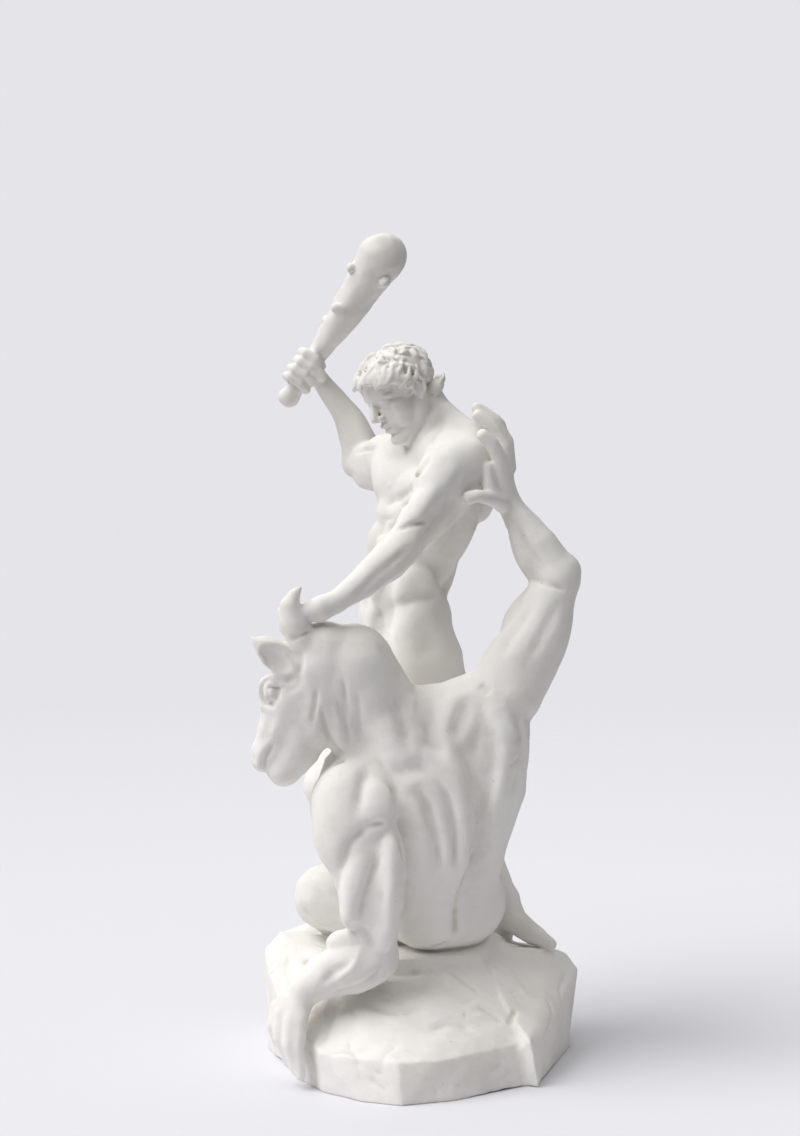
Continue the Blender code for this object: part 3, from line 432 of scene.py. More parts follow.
# Relief that the drawing shows: landmarks (across, down), half width and depth. Under 0 is a ridge.
BULL_RELIEF = {
    "spine of the right shoulder blade": (((468, 700), (461, 720), (454, 738)), 8, 6.5),
    "valley right of the spine": (((430, 700), (434, 730), (440, 756)), 8, 4.5),
    "deltoid groove": (((466, 670), (480, 684), (490, 694)), 5, 3),
    "ridge of the left sweep": (((438, 744), (452, 766), (461, 793), (464, 819), (463, 847), (457, 872),
                                (449, 899)), 11, -6),
    "valley right of the left sweep": (((456, 745), (471, 768), (480, 793), (482, 819), (479, 847),
                                       (471, 872), (462, 899)), 7.5, 8),
    "second ridge": (((426, 784), (438, 799), (444, 819), (449, 839), (449, 858)), 6.5, -4),
    "valley right of the second ridge": (((437, 782), (449, 799), (453, 819), (455, 839),
                                         (455, 862)), 4.5, 4),
    "valley left of the second ridge": (((418, 790), (428, 806), (434, 826), (438, 846), (438, 868)), 5, 5),
    "third ridge": (((412, 800), (420, 822), (424, 846), (424, 872)), 7, -3),
    "pit of the shoulder blade": (((392, 772), (404, 772), (414, 769), (424, 767)), 8, 6),
    "back of the left arm": (((396, 784), (397, 812), (401, 839), (406, 869)), 5, 7),
    "trapezius": (((376, 690), (384, 716), (390, 746)), 17, -6.5),
    "valley right of the trapezius": (((394, 690), (402, 718), (408, 745)), 7, 5),
    "upper vertebra": (((413, 700), (412, 703)), 5, -2.4),
    "second vertebra": (((411, 711), (412, 714)), 5, -2.4),
    "third vertebra": (((418, 720), (419, 723)), 5, -2.4),
    "fourth vertebra": (((421, 733), (422, 736)), 5, -2.2),
    "right flank ridge": (((493, 703), (509, 740), (508, 766), (499, 794), (489, 822)), 13, -6),
    "valley left of the flank ridge": (((482, 712), (492, 740), (492, 766), (487, 794), (481, 815)), 7, 6),
    "valley right of the flank ridge": (((514, 712), (523, 740), (521, 768), (513, 792)), 6, 4),
    "rib mark above": (((522, 735), (514, 744)), 3.5, 2),
    "rib mark below": (((519, 758), (509, 768)), 3.5, 2),
    "crease of the deltoid": (((393, 819), (371, 826), (360, 834), (350, 845), (342, 866)), 4.5, 5),
    "front of the deltoid": (((372, 760), (362, 784), (358, 812)), 6, 2.5),
    "back of the deltoid": (((374, 756), (388, 778), (396, 800)), 5, 3),
    "groove of the triceps": (((378, 858), (371, 878), (364, 898), (360, 918)), 4.5, 5),
    "long head of the triceps": (((388, 838), (392, 872), (390, 900)), 7, -3),
    "tendon of the triceps": (((382, 884), (380, 912), (380, 930)), 6, 3),
    "side head of the triceps": (((347, 872), (349, 905), (346, 925)), 7, -3),
    "above the elbow": (((352, 925), (366, 934), (372, 948)), 4, 4),
    "edge of the ulna": (((360, 949), (352, 968), (335, 982)), 3, -2),
    "upper groove of the forearm": (((350, 962), (334, 972), (322, 984)), 4, 3),
    "lower groove of the forearm": (((384, 966), (366, 982), (346, 990), (328, 996)), 4, 3),
    "edge of the left hip": (((472, 822), (474, 840), (464, 881), (457, 909), (455, 928)), 5, 6),
    "between the buttocks": (((456, 905), (455, 936)), 4, 5),
    "under the left buttock": (((400, 948), (428, 948), (450, 941)), 3, 3),
    "side of the left hip": (((414, 880), (420, 905), (414, 930)), 9, 2.5),
    "fold of the left thigh": (((300, 905), (315, 922), (334, 930)), 5, 2.5),
    "crease of the raised elbow": (((529, 578), (546, 583), (566, 590)), 3.4, 3),
    "groove of the raised arm": (((534, 600), (518, 628), (500, 656)), 6, 2.5),
    "raised arm, outer groove": (((560, 600), (544, 632), (526, 664)), 6, 2),
    "raised forearm groove": (((516, 520), (528, 545), (546, 568)), 5, 3),
    "raised forearm, bone": (((514, 498), (532, 522), (556, 548)), 4, -1.5),
    "fork of the neck": (((405, 682), (392, 662), (378, 646)), 6, 2),
    "fold behind the jaw": (((317, 690), (315, 706), (312, 724)), 2.6, 3),
    "long fold of the neck": (((322, 708), (326, 728), (333, 745), (344, 755)), 2.6, 4),
    "second fold of the neck": (((343, 676), (345, 700), (346, 722), (350, 746)), 3, 3),
    "third fold of the neck": (((356, 690), (359, 716), (360, 738)), 4, 2),
    "between the folds": (((334, 700), (338, 726), (342, 748)), 4, -2),
    "shadow of the jaw": (((300, 722), (306, 738), (314, 750)), 9, 3.5),
    "ridge from jaw to throat": (((308, 758), (326, 759), (346, 756)), 2.4, -1.6),
    "under the jaw": (((320, 764), (334, 764), (344, 761)), 3, 4),
    "side of the nose": (((272, 712), (268, 728), (264, 742)), 5, 2),
    "slit of the mouth": (((273, 744), (269, 752), (265, 761), (264, 769), (266, 778)), 2.2, 5.5),
    "lip above the slit": (((264, 744), (259, 756), (258, 768)), 3, -1.2),
    "nostril": (((254, 748), (252, 754), (254, 760)), 2, 3),
    "round the eye, below": (((264, 700), (268, 704), (275, 703)), 2, 2),
    "between ear and cheek": (((300, 676), (296, 684), (288, 690)), 5, 3),
    "forelock edge": (((290, 640), (300, 636), (310, 630)), 2.5, 2.5),
}
HERO_RELIEF = {
    "lower edge of the left breast": (((372, 506), (386, 503), (399, 498), (411, 490)), 4, 3.5),
    "arm and chest": (((430, 456), (420, 472), (412, 490), (406, 506)), 3.2, 4.5),
    "nipple": (((389, 485), (390, 486)), 1.8, -1.4),
    "pit of the elbow": (((399, 530), (411, 525), (426, 522)), 2.8, 3.2),
    "outer groove of the upper arm": (((452, 499), (438, 518), (420, 538)), 5, 3.5),
    "groove of the forearm": (((410, 546), (390, 564), (370, 582), (350, 602)), 3.6, 2.4),
    "bone of the forearm": (((418, 556), (396, 574), (372, 592), (352, 608)), 3, -1.6),
    "edge of the deltoid": (((462, 470), (452, 488), (444, 502)), 5, 2),
    "edge of the back": (((448, 524), (436, 540), (425, 558)), 3.5, -2.5),
    "behind the edge of the back": (((458, 520), (448, 540), (434, 560)), 5, 2.5),
    "crest of the hip": (((385, 611), (398, 605), (414, 600), (428, 598), (440, 596)), 5.5, 2.6),
    "groin": (((381, 614), (377, 622), (375, 634)), 4.5, 3),
    "hollow of the hip": (((420, 622), (428, 640), (430, 656)), 12, 3),
    "side of the belly": (((362, 560), (358, 584), (362, 606)), 7, 2),
    "ribs, first": (((372, 516), (384, 520), (394, 518)), 3, 1.6),
    "ribs, second": (((366, 530), (378, 534), (386, 532)), 3, 1.6),
    "pit of the raised elbow": (((356, 452), (366, 450), (376, 449)), 2.6, 2.5),
    "side of the neck": (((438, 402), (430, 424), (420, 440)), 4, -2.5),
    "hollow of the neck": (((446, 412), (440, 430), (430, 444)), 5, 2.5),
    "shin of the left leg": (((503, 840), (508, 868), (517, 898)), 3, -2),
}
ROCK_RELIEF = {
    "upper left rim": (((328, 1055), (349, 1053), (364, 1068)), 2.4, 1.6),
    "short deep cut": (((509, 1025), (516, 1010)), 3, 4),
    "long scar": (((452, 972), (466, 983), (480, 994)), 3, 2.5),
    "second scar": (((478, 1007), (492, 1014), (503, 1023)), 3.4, 3),
    "upper scar": (((509, 947), (526, 946), (541, 948)), 2.8, 2.5),
    "right scar": (((548, 1001), (553, 1016), (545, 1036)), 3, 3),
    "far right scar": (((566, 972), (560, 990), (562, 1008)), 3, 2.5),
    "pit at the left": (((305, 960), (309, 964)), 4, 4),
    "left scar": (((288, 950), (284, 972), (288, 990)), 5, 3),
    "rut below the hand": (((340, 1000), (330, 1022), (322, 1046)), 5, 3.5),
    "shelf under the arm": (((362, 1004), (392, 1012), (420, 1010)), 7, 3.5),
    "front rut": (((430, 1030), (452, 1024), (472, 1030)), 5, 2.5),
}
EAR_FACING, EAR_CUT = (-0.35, -1, -0.1), 12.5
EAR_RELIEF = {
    "upper rim": (((256, 641), (268, 642), (282, 645), (291, 653)), 2.6, -1.2),
    "first tuft": (((256, 652), (261, 657), (266, 664)), 1.7, -1.6),
    "second tuft": (((260, 652), (265, 658), (271, 666)), 1.5, 1.4),
    "third tuft": (((262, 661), (268, 666), (275, 670)), 1.7, -1.6),
    "notch of the tuft": (((259, 660), (263, 657)), 1.5, 1.6),
    "second notch": (((266, 668), (269, 664)), 1.5, 1.6),
    "below the ear": (((276, 679), (286, 681), (295, 676)), 3.4, 4),
    "behind the ear": (((299, 652), (301, 664), (298, 674)), 3.4, 3),
}
EYE_LID = ((275, 684.5), (271, 683), (267, 685.5), (265.3, 690), (266.4, 696), (269, 700.5))
EYE_LID_RADIUS = 1.7
EYE_RELIEF = {
    "outside the lid": (((271, 679.5), (265, 682), (262.3, 689), (263.4, 698), (268, 705)), 1.9, 2.4),
    "round the eyeball": (((274.5, 688), (269.5, 689), (268.8, 695), (272, 700)), 1.2, 1.3),
    "behind the eye": (((278, 686), (278.5, 693), (276, 701)), 2.4, 2.2),
    "tear": (((270, 702), (274, 708)), 1.6, 1.6),
}
SCARS, SCAR_SEED = 110, 3
ROCK_EDGE = 1.2
ROCK_ACROSS, ROCK_DOWN = (262, 580), (935, 1096)
# size of the lumps, their height
ROCK_LUMPS = ((60, 2.4), (26, 1.0), (12, 0.4), (6, 0.22))
SKIN_LUMPS = ((34, 0.7), (14, 0.45), (6, 0.22))
CLUB_LUMPS = ((22, 1.4), (9, 0.8))

# The plaster's specks, file marks and grain
SPECK_COLOUR = (0.30, 0.28, 0.25, 1.0)
FILE_MARKS = {"Rotation": (0.3, 0.5, 0.2), "Scale": (240.0, 90.0, 900.0)}
GRAIN_DEPTH = 0.0007


def unit_vector(direction):
    direction = np.asarray(direction, float)
    return direction / np.linalg.norm(direction)


def seen_from_front(across, down, depth):
    """The place in space that the drawing shows at (across, down), at this depth."""
    right = across - PICTURE_MIDDLE[0]
    up = PICTURE_MIDDLE[1] - down
    away = PICTURE_DISTANCE * math.cos(PITCH) + up * math.sin(PITCH)
    rise = up * math.cos(PITCH) - PICTURE_DISTANCE * math.sin(PITCH)
    reach = (depth + EYE_DISTANCE) / away
    return np.array([EYE_ACROSS + reach * right, depth, EYE_HEIGHT + reach * rise])


def axes_of(forward, up):
    """The side, forward and up directions of a body part, as rows."""
    up = unit_vector(up)
    forward = unit_vector(np.asarray(forward, float) - np.dot(forward, up) * up)
    return np.array([np.cross(up, forward), forward, up])


class Station:
    """A place on a body with its own side, forward and up directions, and its own size."""

    def __init__(self, place, forward, up, size=1.0):
        self.place = np.asarray(place, float)
        self.axes = axes_of(forward, up)
        self.size = size

    def point(self, side, forward, up=0.0):
        return self.place + self.size * np.array([side, forward, up], float) @ self.axes

    def sized(self, length):
        return self.size * np.asarray(length, float)

    def direction(self, side, forward, up=0.0):
        return unit_vector(np.array([side, forward, up], float) @ self.axes)

    def ball(self, body, centre, radii, left=1, **how):
        """An ellipsoid on the body. With left = -1 it is the mirror image."""
        side, forward, up = centre
        body.ball(self.point(left * side, forward, up), self.sized(radii), self.axes, **how)

    def limb(self, body, joints, left=1, soften=None):
        """A tapered tube through (side, forward, up, radius) joints. With left = -1 it is the mirror image."""
        body.limb([(self.point(left * joint[0], *joint[1:3]), self.sized(joint[3])) for joint in joints], soften)


class Spine:
    """A bent frame through stations, from the hips up. A height of 1.5 is halfway from station 1 to station 2."""

    def __init__(self, stations):
        self.places = [seen_from_front(*place) for place, _ in stations]
        self.forwards = [np.array(forward) for _, forward in stations]

    def at(self, height):
        low = int(min(max(math.floor(height), 0), len(self.places) - 2))
        share = height - low
        place, forward = (row[low] * (1 - share) + row[low + 1] * share for row in (self.places, self.forwards))
        return Station(place, forward, self.places[low + 1] - self.places[low])


def lesser(first, second, soften):
    """The lesser of two distances, with a fillet where the forms meet."""
    if soften <= 0:
        return np.minimum(first, second)
    near = np.maximum(soften - np.abs(first - second), 0)
    return np.minimum(first, second) - near * near * (0.25 / soften)


def smooth_path(points, pieces=6):
    """More points on a smooth curve through these ones."""
    points = [np.asarray(point, float) for point in points]
    if len(points) < 3:
        return np.array(points)
    ends = [2 * points[0] - points[1]] + points + [2 * points[-1] - points[-2]]
    made = []
    for before, start, stop, after in zip(ends, ends[1:], ends[2:], ends[3:]):
        for share in np.arange(pieces) / pieces:
            bend = 2 * before - 5 * start + 4 * stop - after
            twist = -before + 3 * start - 3 * stop + after
            made.append(start + 0.5 * share * (stop - before + share * (bend + share * twist)))
    return np.array(made + [points[-1]])


class Clay:
    """A distance field on a grid, negative inside the form. All sizes are in drawing units."""

    FAR = 60.0
    MUSCLE_BLEND, LIMB_BLEND, BALL_BLEND, SLAB_BLEND = 0.22, 0.28, 0.2, 6.0
    # A stroke ends at this many half widths, and fades over its first and last parts of the path
    STROKE_REACH, STROKE_FADE, STROKE_TIP = 2.6, 4.0, 0.2
    SIGHT_STEP = 0.5

    def __init__(self, low, high, step, softness=1.0):
        self.step, self.softness = float(step), softness
        self.low = np.floor(np.asarray(low, float) / step) * step
        self.count = np.maximum(np.ceil((np.asarray(high, float) - self.low) / step).astype(int) + 1, 2)
        self.field = np.full(self.count, self.FAR, np.float32)

    @property
    def high(self):
        return self.low + self.step * (self.count - 1)

    def part(self, low, high, softness=1.0):
        """Fresh clay on a part of this grid. The softness is how much wider its forms blend."""
        return Clay(np.maximum(low, self.low), np.minimum(high, self.high), self.step, softness)

    def window(self, low, high):
        """The grid cells from low to high, and their coordinates along each axis. Outside the grid there are none."""
        first = np.clip(np.floor((np.asarray(low) - self.low) / self.step).astype(int), 0, self.count)
        last = np.clip(np.ceil((np.asarray(high) - self.low) / self.step).astype(int) + 1, 0, self.count)
        cells = tuple(slice(start, stop) for start, stop in zip(first, last))
        right, away, up = (
            (self.low[axis] + self.step * np.arange(first[axis], last[axis])).astype(np.float32) for axis in range(3)
        )
        return cells, right[:, None, None], away[None, :, None], up[None, None, :]

    def join(self, cells, distance, soften):
        self.field[cells] = lesser(self.field[cells], distance.astype(np.float32), soften)

    def carve(self, cells, distance, soften):
        self.field[cells] = -lesser(-self.field[cells], distance.astype(np.float32), soften)

    def add(self, other, soften):
        """Joins other clay, which lies on a part of this grid."""
        first = np.round((other.low - self.low) / self.step).astype(int)
        start = np.maximum(first, 0)
        stop = np.minimum(first + other.count, self.count)
        mine, theirs = (tuple(slice(a, b) for a, b in zip(start - origin, stop - origin)) for origin in (0, first))
        self.join(mine, other.field[theirs], soften)

    def limb(self, joints, soften=None):
        """A tapered tube through (place, radius) joints."""
        places = np.array([place for place, _ in joints], float)
        radii = np.array([radius for _, radius in joints], float)
        soften = self.softness * self.LIMB_BLEND * radii.max() if soften is None else soften
        margin = radii.max() + soften + 2 * self.step
        cells, *at = self.window(places.min(0) - margin, places.max(0) + margin)
        distance = self.FAR
        for rod in zip(places, places[1:], radii, radii[1:]):
            distance = np.minimum(distance, rod_distance(at, *rod))
        self.join(cells, distance, soften)

    def ball(self, centre, radii, axes=None, soften=None, cut=False):
        """An ellipsoid. The axes are its three directions, as rows."""
        centre, radii = np.asarray(centre, float), np.asarray(radii, float)
        axes = np.eye(3) if axes is None else np.asarray(axes, float)
        soften = self.softness * self.BALL_BLEND * radii.min() if soften is None else soften
        reach = np.sqrt(((axes * radii[:, None]) ** 2).sum(0)) + soften + 2 * self.step
        cells, *at = self.window(centre - reach, centre + reach)
        near = far = 0
        for direction, radius in zip(axes, radii):
            share = sum((line - middle) * part for line, middle, part in zip(at, centre, direction)) / radius
            near = near + share**2
            far = far + (share / radius) ** 2
        near = np.sqrt(near)
        distance = near * (near - 1) / (np.sqrt(far) + 1e-6)
        (self.carve if cut else self.join)(cells, distance, soften)

    def belly(self, start, end, half_width, half_depth, facing, soften=None, cut=False):
        """A muscle: an ellipsoid from start to end, flattened along the way that it faces."""
        along = unit_vector(end - start)
        face = unit_vector(np.asarray(facing, float) - np.dot(facing, along) * along)
        radii = (np.linalg.norm(end - start) / 2, half_width, half_depth)
        soften = self.softness * self.MUSCLE_BLEND * half_width if soften is None else soften
        self.ball((start + end) / 2, radii, np.array([along, np.cross(face, along), face]), soften, cut)

    def slab(self, corners, edge):
        """The convex block over these corners, such as a block of stone, with its edges worn by edge."""
        corners = np.array(corners, float)
        cells, *at = self.window(corners.min(0) - 2 * self.SLAB_BLEND, corners.max(0) + 2 * self.SLAB_BLEND)
        distance = -self.FAR
        for normal, offset in hull_planes(corners):
            plane = sum(line * part for line, part in zip(at, normal)) - offset
            distance = -lesser(-distance, -plane, edge)
        self.join(cells, distance, self.SLAB_BLEND)

    def stroke(self, places, width, depth):
        """Presses the surface in along a path, or raises it where depth is under 0. A long one fades at its ends."""
        path = smooth_path(places)
        reach = self.STROKE_REACH * width
        cells, *at = self.window(path.min(0) - reach, path.max(0) + reach)
        dent, count = 0, len(path) - 1
        fades = np.linalg.norm(np.diff(path, axis=0), axis=1).sum() > 2 * width
        for index, (start, stop) in enumerate(zip(path, path[1:])):
            along = stop - start
            away = [line - origin for line, origin in zip(at, start)]
            share = sum(line * part for line, part in zip(away, along)) / max(along @ along, 1e-6)
            share = np.clip(share, 0, 1)
            distance = np.sqrt(sum((line - share * part) ** 2 for line, part in zip(away, along)))
            share = (index + share) / count
            tip = np.minimum(self.STROKE_FADE * share, self.STROKE_FADE * (1 - share)) + self.STROKE_TIP
            strength = np.minimum(tip, 1.0) if fades else 1.0
            dent = np.maximum(dent, strength * np.exp(-((distance / width) ** 2)))
        self.field[cells] += (depth * dent).astype(np.float32)

    def sample(self, places):
        """The field at these places, by the nearest eight cells."""
        spot = (np.asarray(places, float) - self.low) / self.step
        spot = np.clip(spot, 0, self.count - 1.001)
        base = spot.astype(int)
        share = spot - base
        total = 0
        for corner in np.ndindex(2, 2, 2):
            weight = np.prod(np.where(corner, share, 1 - share), axis=-1)
            total = total + weight * self.field[tuple(np.moveaxis(base + corner, -1, 0))]
        return total

    def seen(self, across, down):
        """The place on the surface that the drawing shows at (across, down), or None beside the figures."""
        depths = np.arange(self.low[1], self.high[1], self.SIGHT_STEP)
        near, far = seen_from_front(across, down, depths[0]), seen_from_front(across, down, depths[-1])
        line = near + (far - near) * (np.arange(len(depths)) / (len(depths) - 1))[:, None]
        inside = np.flatnonzero(self.sample(line) < 0)
        return line[inside[0]] if len(inside) else None

    def seen_path(self, landmarks):
        """The places on the surface that the drawing shows at these landmarks, without those that miss it."""
        path = [self.seen(across, down) for across, down in landmarks]
        return [place for place in path if place is not None]

    def drawn_stroke(self, landmarks, width, depth):
        """A stroke through (across, down) landmarks of the drawing, laid on the surface that they show."""
        path = self.seen_path(landmarks)
        if len(path) > 1:
            self.stroke(path, width, depth)

    def blur(self, passes):
        """Softens every edge by a little."""
        for _ in range(passes):
            for axis in range(3):
                values = np.moveaxis(self.field, axis, 0)
                middle = 0.5 * values[1:-1] + 0.25 * (values[:-2] + values[2:])
                values[1:-1] = middle


def rod_distance(at, start, stop, wide, narrow):
    """The distance from a tapered rod."""
    along = stop - start
    offsets = [line - part for line, part in zip(at, start)]
    share = sum(offset * part for offset, part in zip(offsets, along)) / (float(along @ along) + 1e-9)
    share = np.clip(share, 0, 1)
    square = sum((offset - share * part) ** 2 for offset, part in zip(offsets, along))
    return np.sqrt(square) - (wide + share * (narrow - wide))


def hull_planes(corners):
    """The outer planes of the convex block over these corners, each as its normal and offset."""
    hull = bmesh.new()
    for corner in corners:
        hull.verts.new(corner)
    bmesh.ops.convex_hull(hull, input=hull.verts)
    hull.normal_update()
    planes = {}
    for face in hull.faces:
        normal, middle = np.array(face.normal), np.array(face.calc_center_median())
        if normal @ (middle - corners.mean(0)) < 0:
            normal = -normal
        planes[tuple(np.round(normal * 100))] = (normal, normal @ middle)
    hull.free()
    return planes.values()


def surface_of(clay):
    """The corners and four-sided faces of the surface, one corner in each cell that the surface crosses."""
    field, inside = clay.field, clay.field < 0
    size = np.array(field.shape) - 1
    corners = list(np.ndindex(2, 2, 2))
    filled = np.zeros(size, np.uint8)
    for corner in corners:
        filled += inside[tuple(slice(start, start + count) for start, count in zip(corner, size))]
    crossed = (filled > 0) & (filled < len(corners))
    cells = np.argwhere(crossed)
    number = np.full(size, -1, np.int32)
    number[crossed] = np.arange(len(cells), dtype=np.int32)
    value = {corner: field[tuple((cells + corner).T)].astype(float) for corner in corners}
    total, hits = np.zeros(cells.shape), np.zeros(len(cells))
    for axis in range(3):
        for corner in (corner for corner in corners if not corner[axis]):
            other = tuple(place + (index == axis) for index, place in enumerate(corner))
            start, stop = value[corner], value[other]
            hit = (start < 0) != (stop < 0)
            point = np.tile(np.array(corner, float), (len(cells), 1))
            point[:, axis] = np.where(hit, start / np.where(hit, start - stop, 1), 0)
            total += point * hit[:, None]
            hits += hit
    places = (cells + total / hits[:, None]) * clay.step + clay.low
    faces = []
    for axis in range(3):
        solid, table = np.moveaxis(inside, axis, 0), np.moveaxis(number, axis, 0)
        edge, first, second = np.argwhere((solid[:-1] != solid[1:])[:, 1:-1, 1:-1]).T
        first, second = first + 1, second + 1
        around = ((first - 1, second - 1), (first, second - 1), (first, second), (first - 1, second))
        face = np.stack([table[edge, one, two] for one, two in around], 1)
        turned = solid[edge, first, second] if axis != 1 else ~solid[edge, first, second]
        face[~turned] = face[~turned][:, ::-1]
        faces.append(face)
    return places, np.concatenate(faces)


def add_forms(body, forms):
    for joints in forms.get("limbs", {}).values():
        body.limb([(seen_from_front(*joint[:3]), joint[3]) for joint in joints])
    for start, end, *shape in forms.get("muscles", {}).values():
        body.belly(seen_from_front(*start), seen_from_front(*end), *shape)
    for centre, radii in forms.get("masses", {}).values():
        body.ball(seen_from_front(*centre), radii)


def hero_torso(body):
    spine = Spine(SPINE_STATIONS)
    for (side, forward, height), radii in TORSO_MASSES.values():
        spine.at(height).ball(body, (side, forward, 0), radii)
    for left in (1, -1):
        for (side, forward, height), radii in TORSO_PAIRS.values():
            spine.at(height).ball(body, (side, forward, 0), radii, left)
        for start, end, half_width, half_depth, (out, front) in TORSO_MUSCLES.values():
            ends = [spine.at(height).point(left * side, forward) for side, forward, height in (start, end)]
            body.belly(*ends, half_width, half_depth, spine.at(start[2]).direction(left * out, front))
    add_forms(body, HERO_NECK)
    add_forms(body, HERO_LEGS)


def head_station():
    return Station(seen_from_front(*HEAD_PLACE), HEAD_FORWARD, HEAD_UP, HEAD_SIZE)


def hero_head(body):
    head = head_station()
    for centre, radii in HEAD_MASSES.values():
        head.ball(body, centre, radii)
    for joints in HEAD_LIMBS.values():
        head.limb(body, joints)
    for left in (1, -1):
        for centre, radii in HEAD_PAIRS.values():
            head.ball(body, centre, radii, left)
        for joints in HEAD_PAIRED_LIMBS.values():
            head.limb(body, joints, left)


def sculpt_face(body):
    """Sockets, lids and ear rims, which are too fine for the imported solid."""
    head = head_station()
    for left in (1, -1):
        for centre, radii, soften, cut in FACE_FORMS.values():
            head.ball(body, centre, radii, left, soften=soften, cut=cut)
        for joints in FACE_RIMS.values():
            head.limb(body, joints, left, FACE_RIM_BLEND)
        for centre, radii in FACE_HOLES.values():
            head.ball(body, centre, radii, left, soften=1, cut=True)
    for places, width, depth in FACE_LINES.values():
        body.stroke([head.point(*place) for place in places], width, depth)


def ring_width(down):
    """How wide the cap of hair is at this angle down from the crown. It counts as CROWN_WIDTH at the crown."""
    return max(math.sin(down), CROWN_WIDTH)


def on_hair(head, down, around, reach=1.0):
    """A place on the cap of hair, by its angle down from the crown and its angle around from the front."""
    out = np.array([math.sin(down) * math.sin(around), math.sin(down) * math.cos(around), math.cos(down)])
    return head.point(*(np.array(HAIR_CENTRE) + out * HAIR_RADII * reach))


def hairline(around):
    """The angle down from the crown at which the hair ends, over the face."""
    return HAIRLINE + HAIRLINE_FALL * around * around


def lock_of_hair(body, head, down, around, length, width, turn, lift=1.0, lean=0.0):
    """A wavy tapering lock that runs down from its root and hooks round at its tip."""
    joints = []
    for share, bend, reach, thick in LOCK_SHAPE:
        side = around + lean * (1 - share) + turn * bend * 0.10 / ring_width(down + share * length)
        place = on_hair(head, down + share * length, side, reach * (1 + (lift - 1) * share))
        joints.append((place, head.sized(width * thick)))
    body.limb(joints)


def curl_of_hair(body, head, down, around, size, turn, lift=1.02):
    """A small ring of hair, wound from its outer end to its raised middle."""
    joints = []
    for step in range(7):
        share = step / 6
        angle = turn * (0.6 + 4.6 * share)
        reach = size * (1 - 0.95 * share) / HAIR_RADII[0]
        side = around + reach * math.sin(angle) / ring_width(down)
        place = on_hair(head, down + reach * math.cos(angle), side, lift + 0.05 * share)
        joints.append((place, head.sized(size * (0.42 - 0.1 * share))))
    body.limb(joints)


def comb_locks(body, head, chance):
    """Rings of combed locks that leave the face and the ears free."""
    for ring, (down, count) in enumerate(HAIR_RINGS):
        for lock in range(count):
            around = math.tau * (lock + 0.5 * (ring % 2) + chance.uniform(-0.25, 0.25)) / count
            around = (around + math.pi) % math.tau - math.pi
            turn, start = chance.choice((1, -1)), down + chance.uniform(-0.08, 0.08)
            length, width = chance.uniform(*LOCK_LENGTHS), chance.uniform(*LOCK_WIDTHS)
            in_face = abs(around) < FACE_HALF_ANGLE and start + length > hairline(around) - FRINGE_RISE
            on_ear = abs(abs(around) - EAR_ANGLE) < EAR_HALF_ANGLE and start + length > EAR_TOP
            if not (in_face or on_ear):
                lock_of_hair(body, head, start, around, length, width, turn)


def curl_fringe(body, head, chance):
    """A thick roll over the brow, with a lock and a curl by turns."""
    roll = []
    for lock in range(2 * FRINGE_LOCKS - 1):
        around = FACE_HALF_ANGLE * (lock / (FRINGE_LOCKS - 1) - 1)
        turn, end = (-1 if around < 0 else 1), hairline(around)
        roll.append((on_hair(head, end - FRINGE_RISE, around, 1.04), head.sized(FRINGE_ROLL)))
        if lock % 2:
            down, size = end - chance.uniform(0.16, 0.40), chance.uniform(*FRINGE_CURLS)
            curl_of_hair(body, head, down, around, size, -turn, 1.12)
        else:
            length, tip = chance.uniform(*FRINGE_LENGTHS), end + chance.uniform(-0.05, 0.08)
            width, way = chance.uniform(*FRINGE_WIDTHS), turn * chance.choice((1, 1, -1))
            lift = chance.uniform(*FRINGE_LIFTS)
            lock_of_hair(body, head, tip - length, around, length, width, way, lift, 0.5 * turn)
    body.limb(roll)


def curl_nape(body, head, chance):
    """A roll round the nape, covered in rows of small curls."""
    roll = []
    for curl in range(NAPE_CURLS):
        around = NAPE_ANGLE + (math.tau - 2 * NAPE_ANGLE) * curl / (NAPE_CURLS - 1)
        roll.append((on_hair(head, NAPE_DOWN, around, NAPE_LIFT - 0.14), head.sized(NAPE_ROLL)))
        for down, size in NAPE_ROWS:
            turn = chance.choice((1, -1))
            lean = around + chance.uniform(-0.08, 0.08)
            down, size = down + chance.uniform(-0.06, 0.06), size * chance.uniform(0.9, 1.1)
            curl_of_hair(body, head, down, lean, size, turn, NAPE_LIFT)
    body.limb(roll)


def hero_hair(body):
    """A cap of combed locks, a thick curled fringe over the brow and a roll of curls round the nape."""
    head, chance = head_station(), random.Random(HAIR_SEED)
    head.ball(body, HAIR_CENTRE, HAIR_RADII)
    for style in (comb_locks, curl_fringe, curl_nape):
        style(body, head, chance)


def strand_lines(body):
    """Fine strand lines over the cap, the fringe and the curls."""
    head, chance = head_station(), random.Random(STRAND_SEED)
    for _ in range(STRANDS):
        down, around = math.acos(chance.uniform(-0.3, 1)), chance.uniform(-math.pi, math.pi)
        length, turn = chance.uniform(0.14, 0.34), chance.choice((1, -1)) * 0.09 / ring_width(down)
        lean = -0.35 * length if around < 0 else 0.35 * length
        line = [on_hair(head, down + share * length, around + turn * bend - lean * share, STRAND_REACH)
                for share, bend in STRAND_SHAPE]
        body.stroke(line, STRAND_WIDTH, STRAND_DEPTH)


def smooth_weights(line, start, size, count):
    """How much each of the coarse points counts at each place on the line."""
    spot = (line - start) / size
    base = np.clip(np.floor(spot).astype(int), 0, count - 2)
    share = spot - base
    share = share * share * (3 - 2 * share)
    weights = np.zeros((len(line), count), np.float32)
    weights[np.arange(len(line)), base] = 1 - share
    weights[np.arange(len(line)), base + 1] = share
    return weights


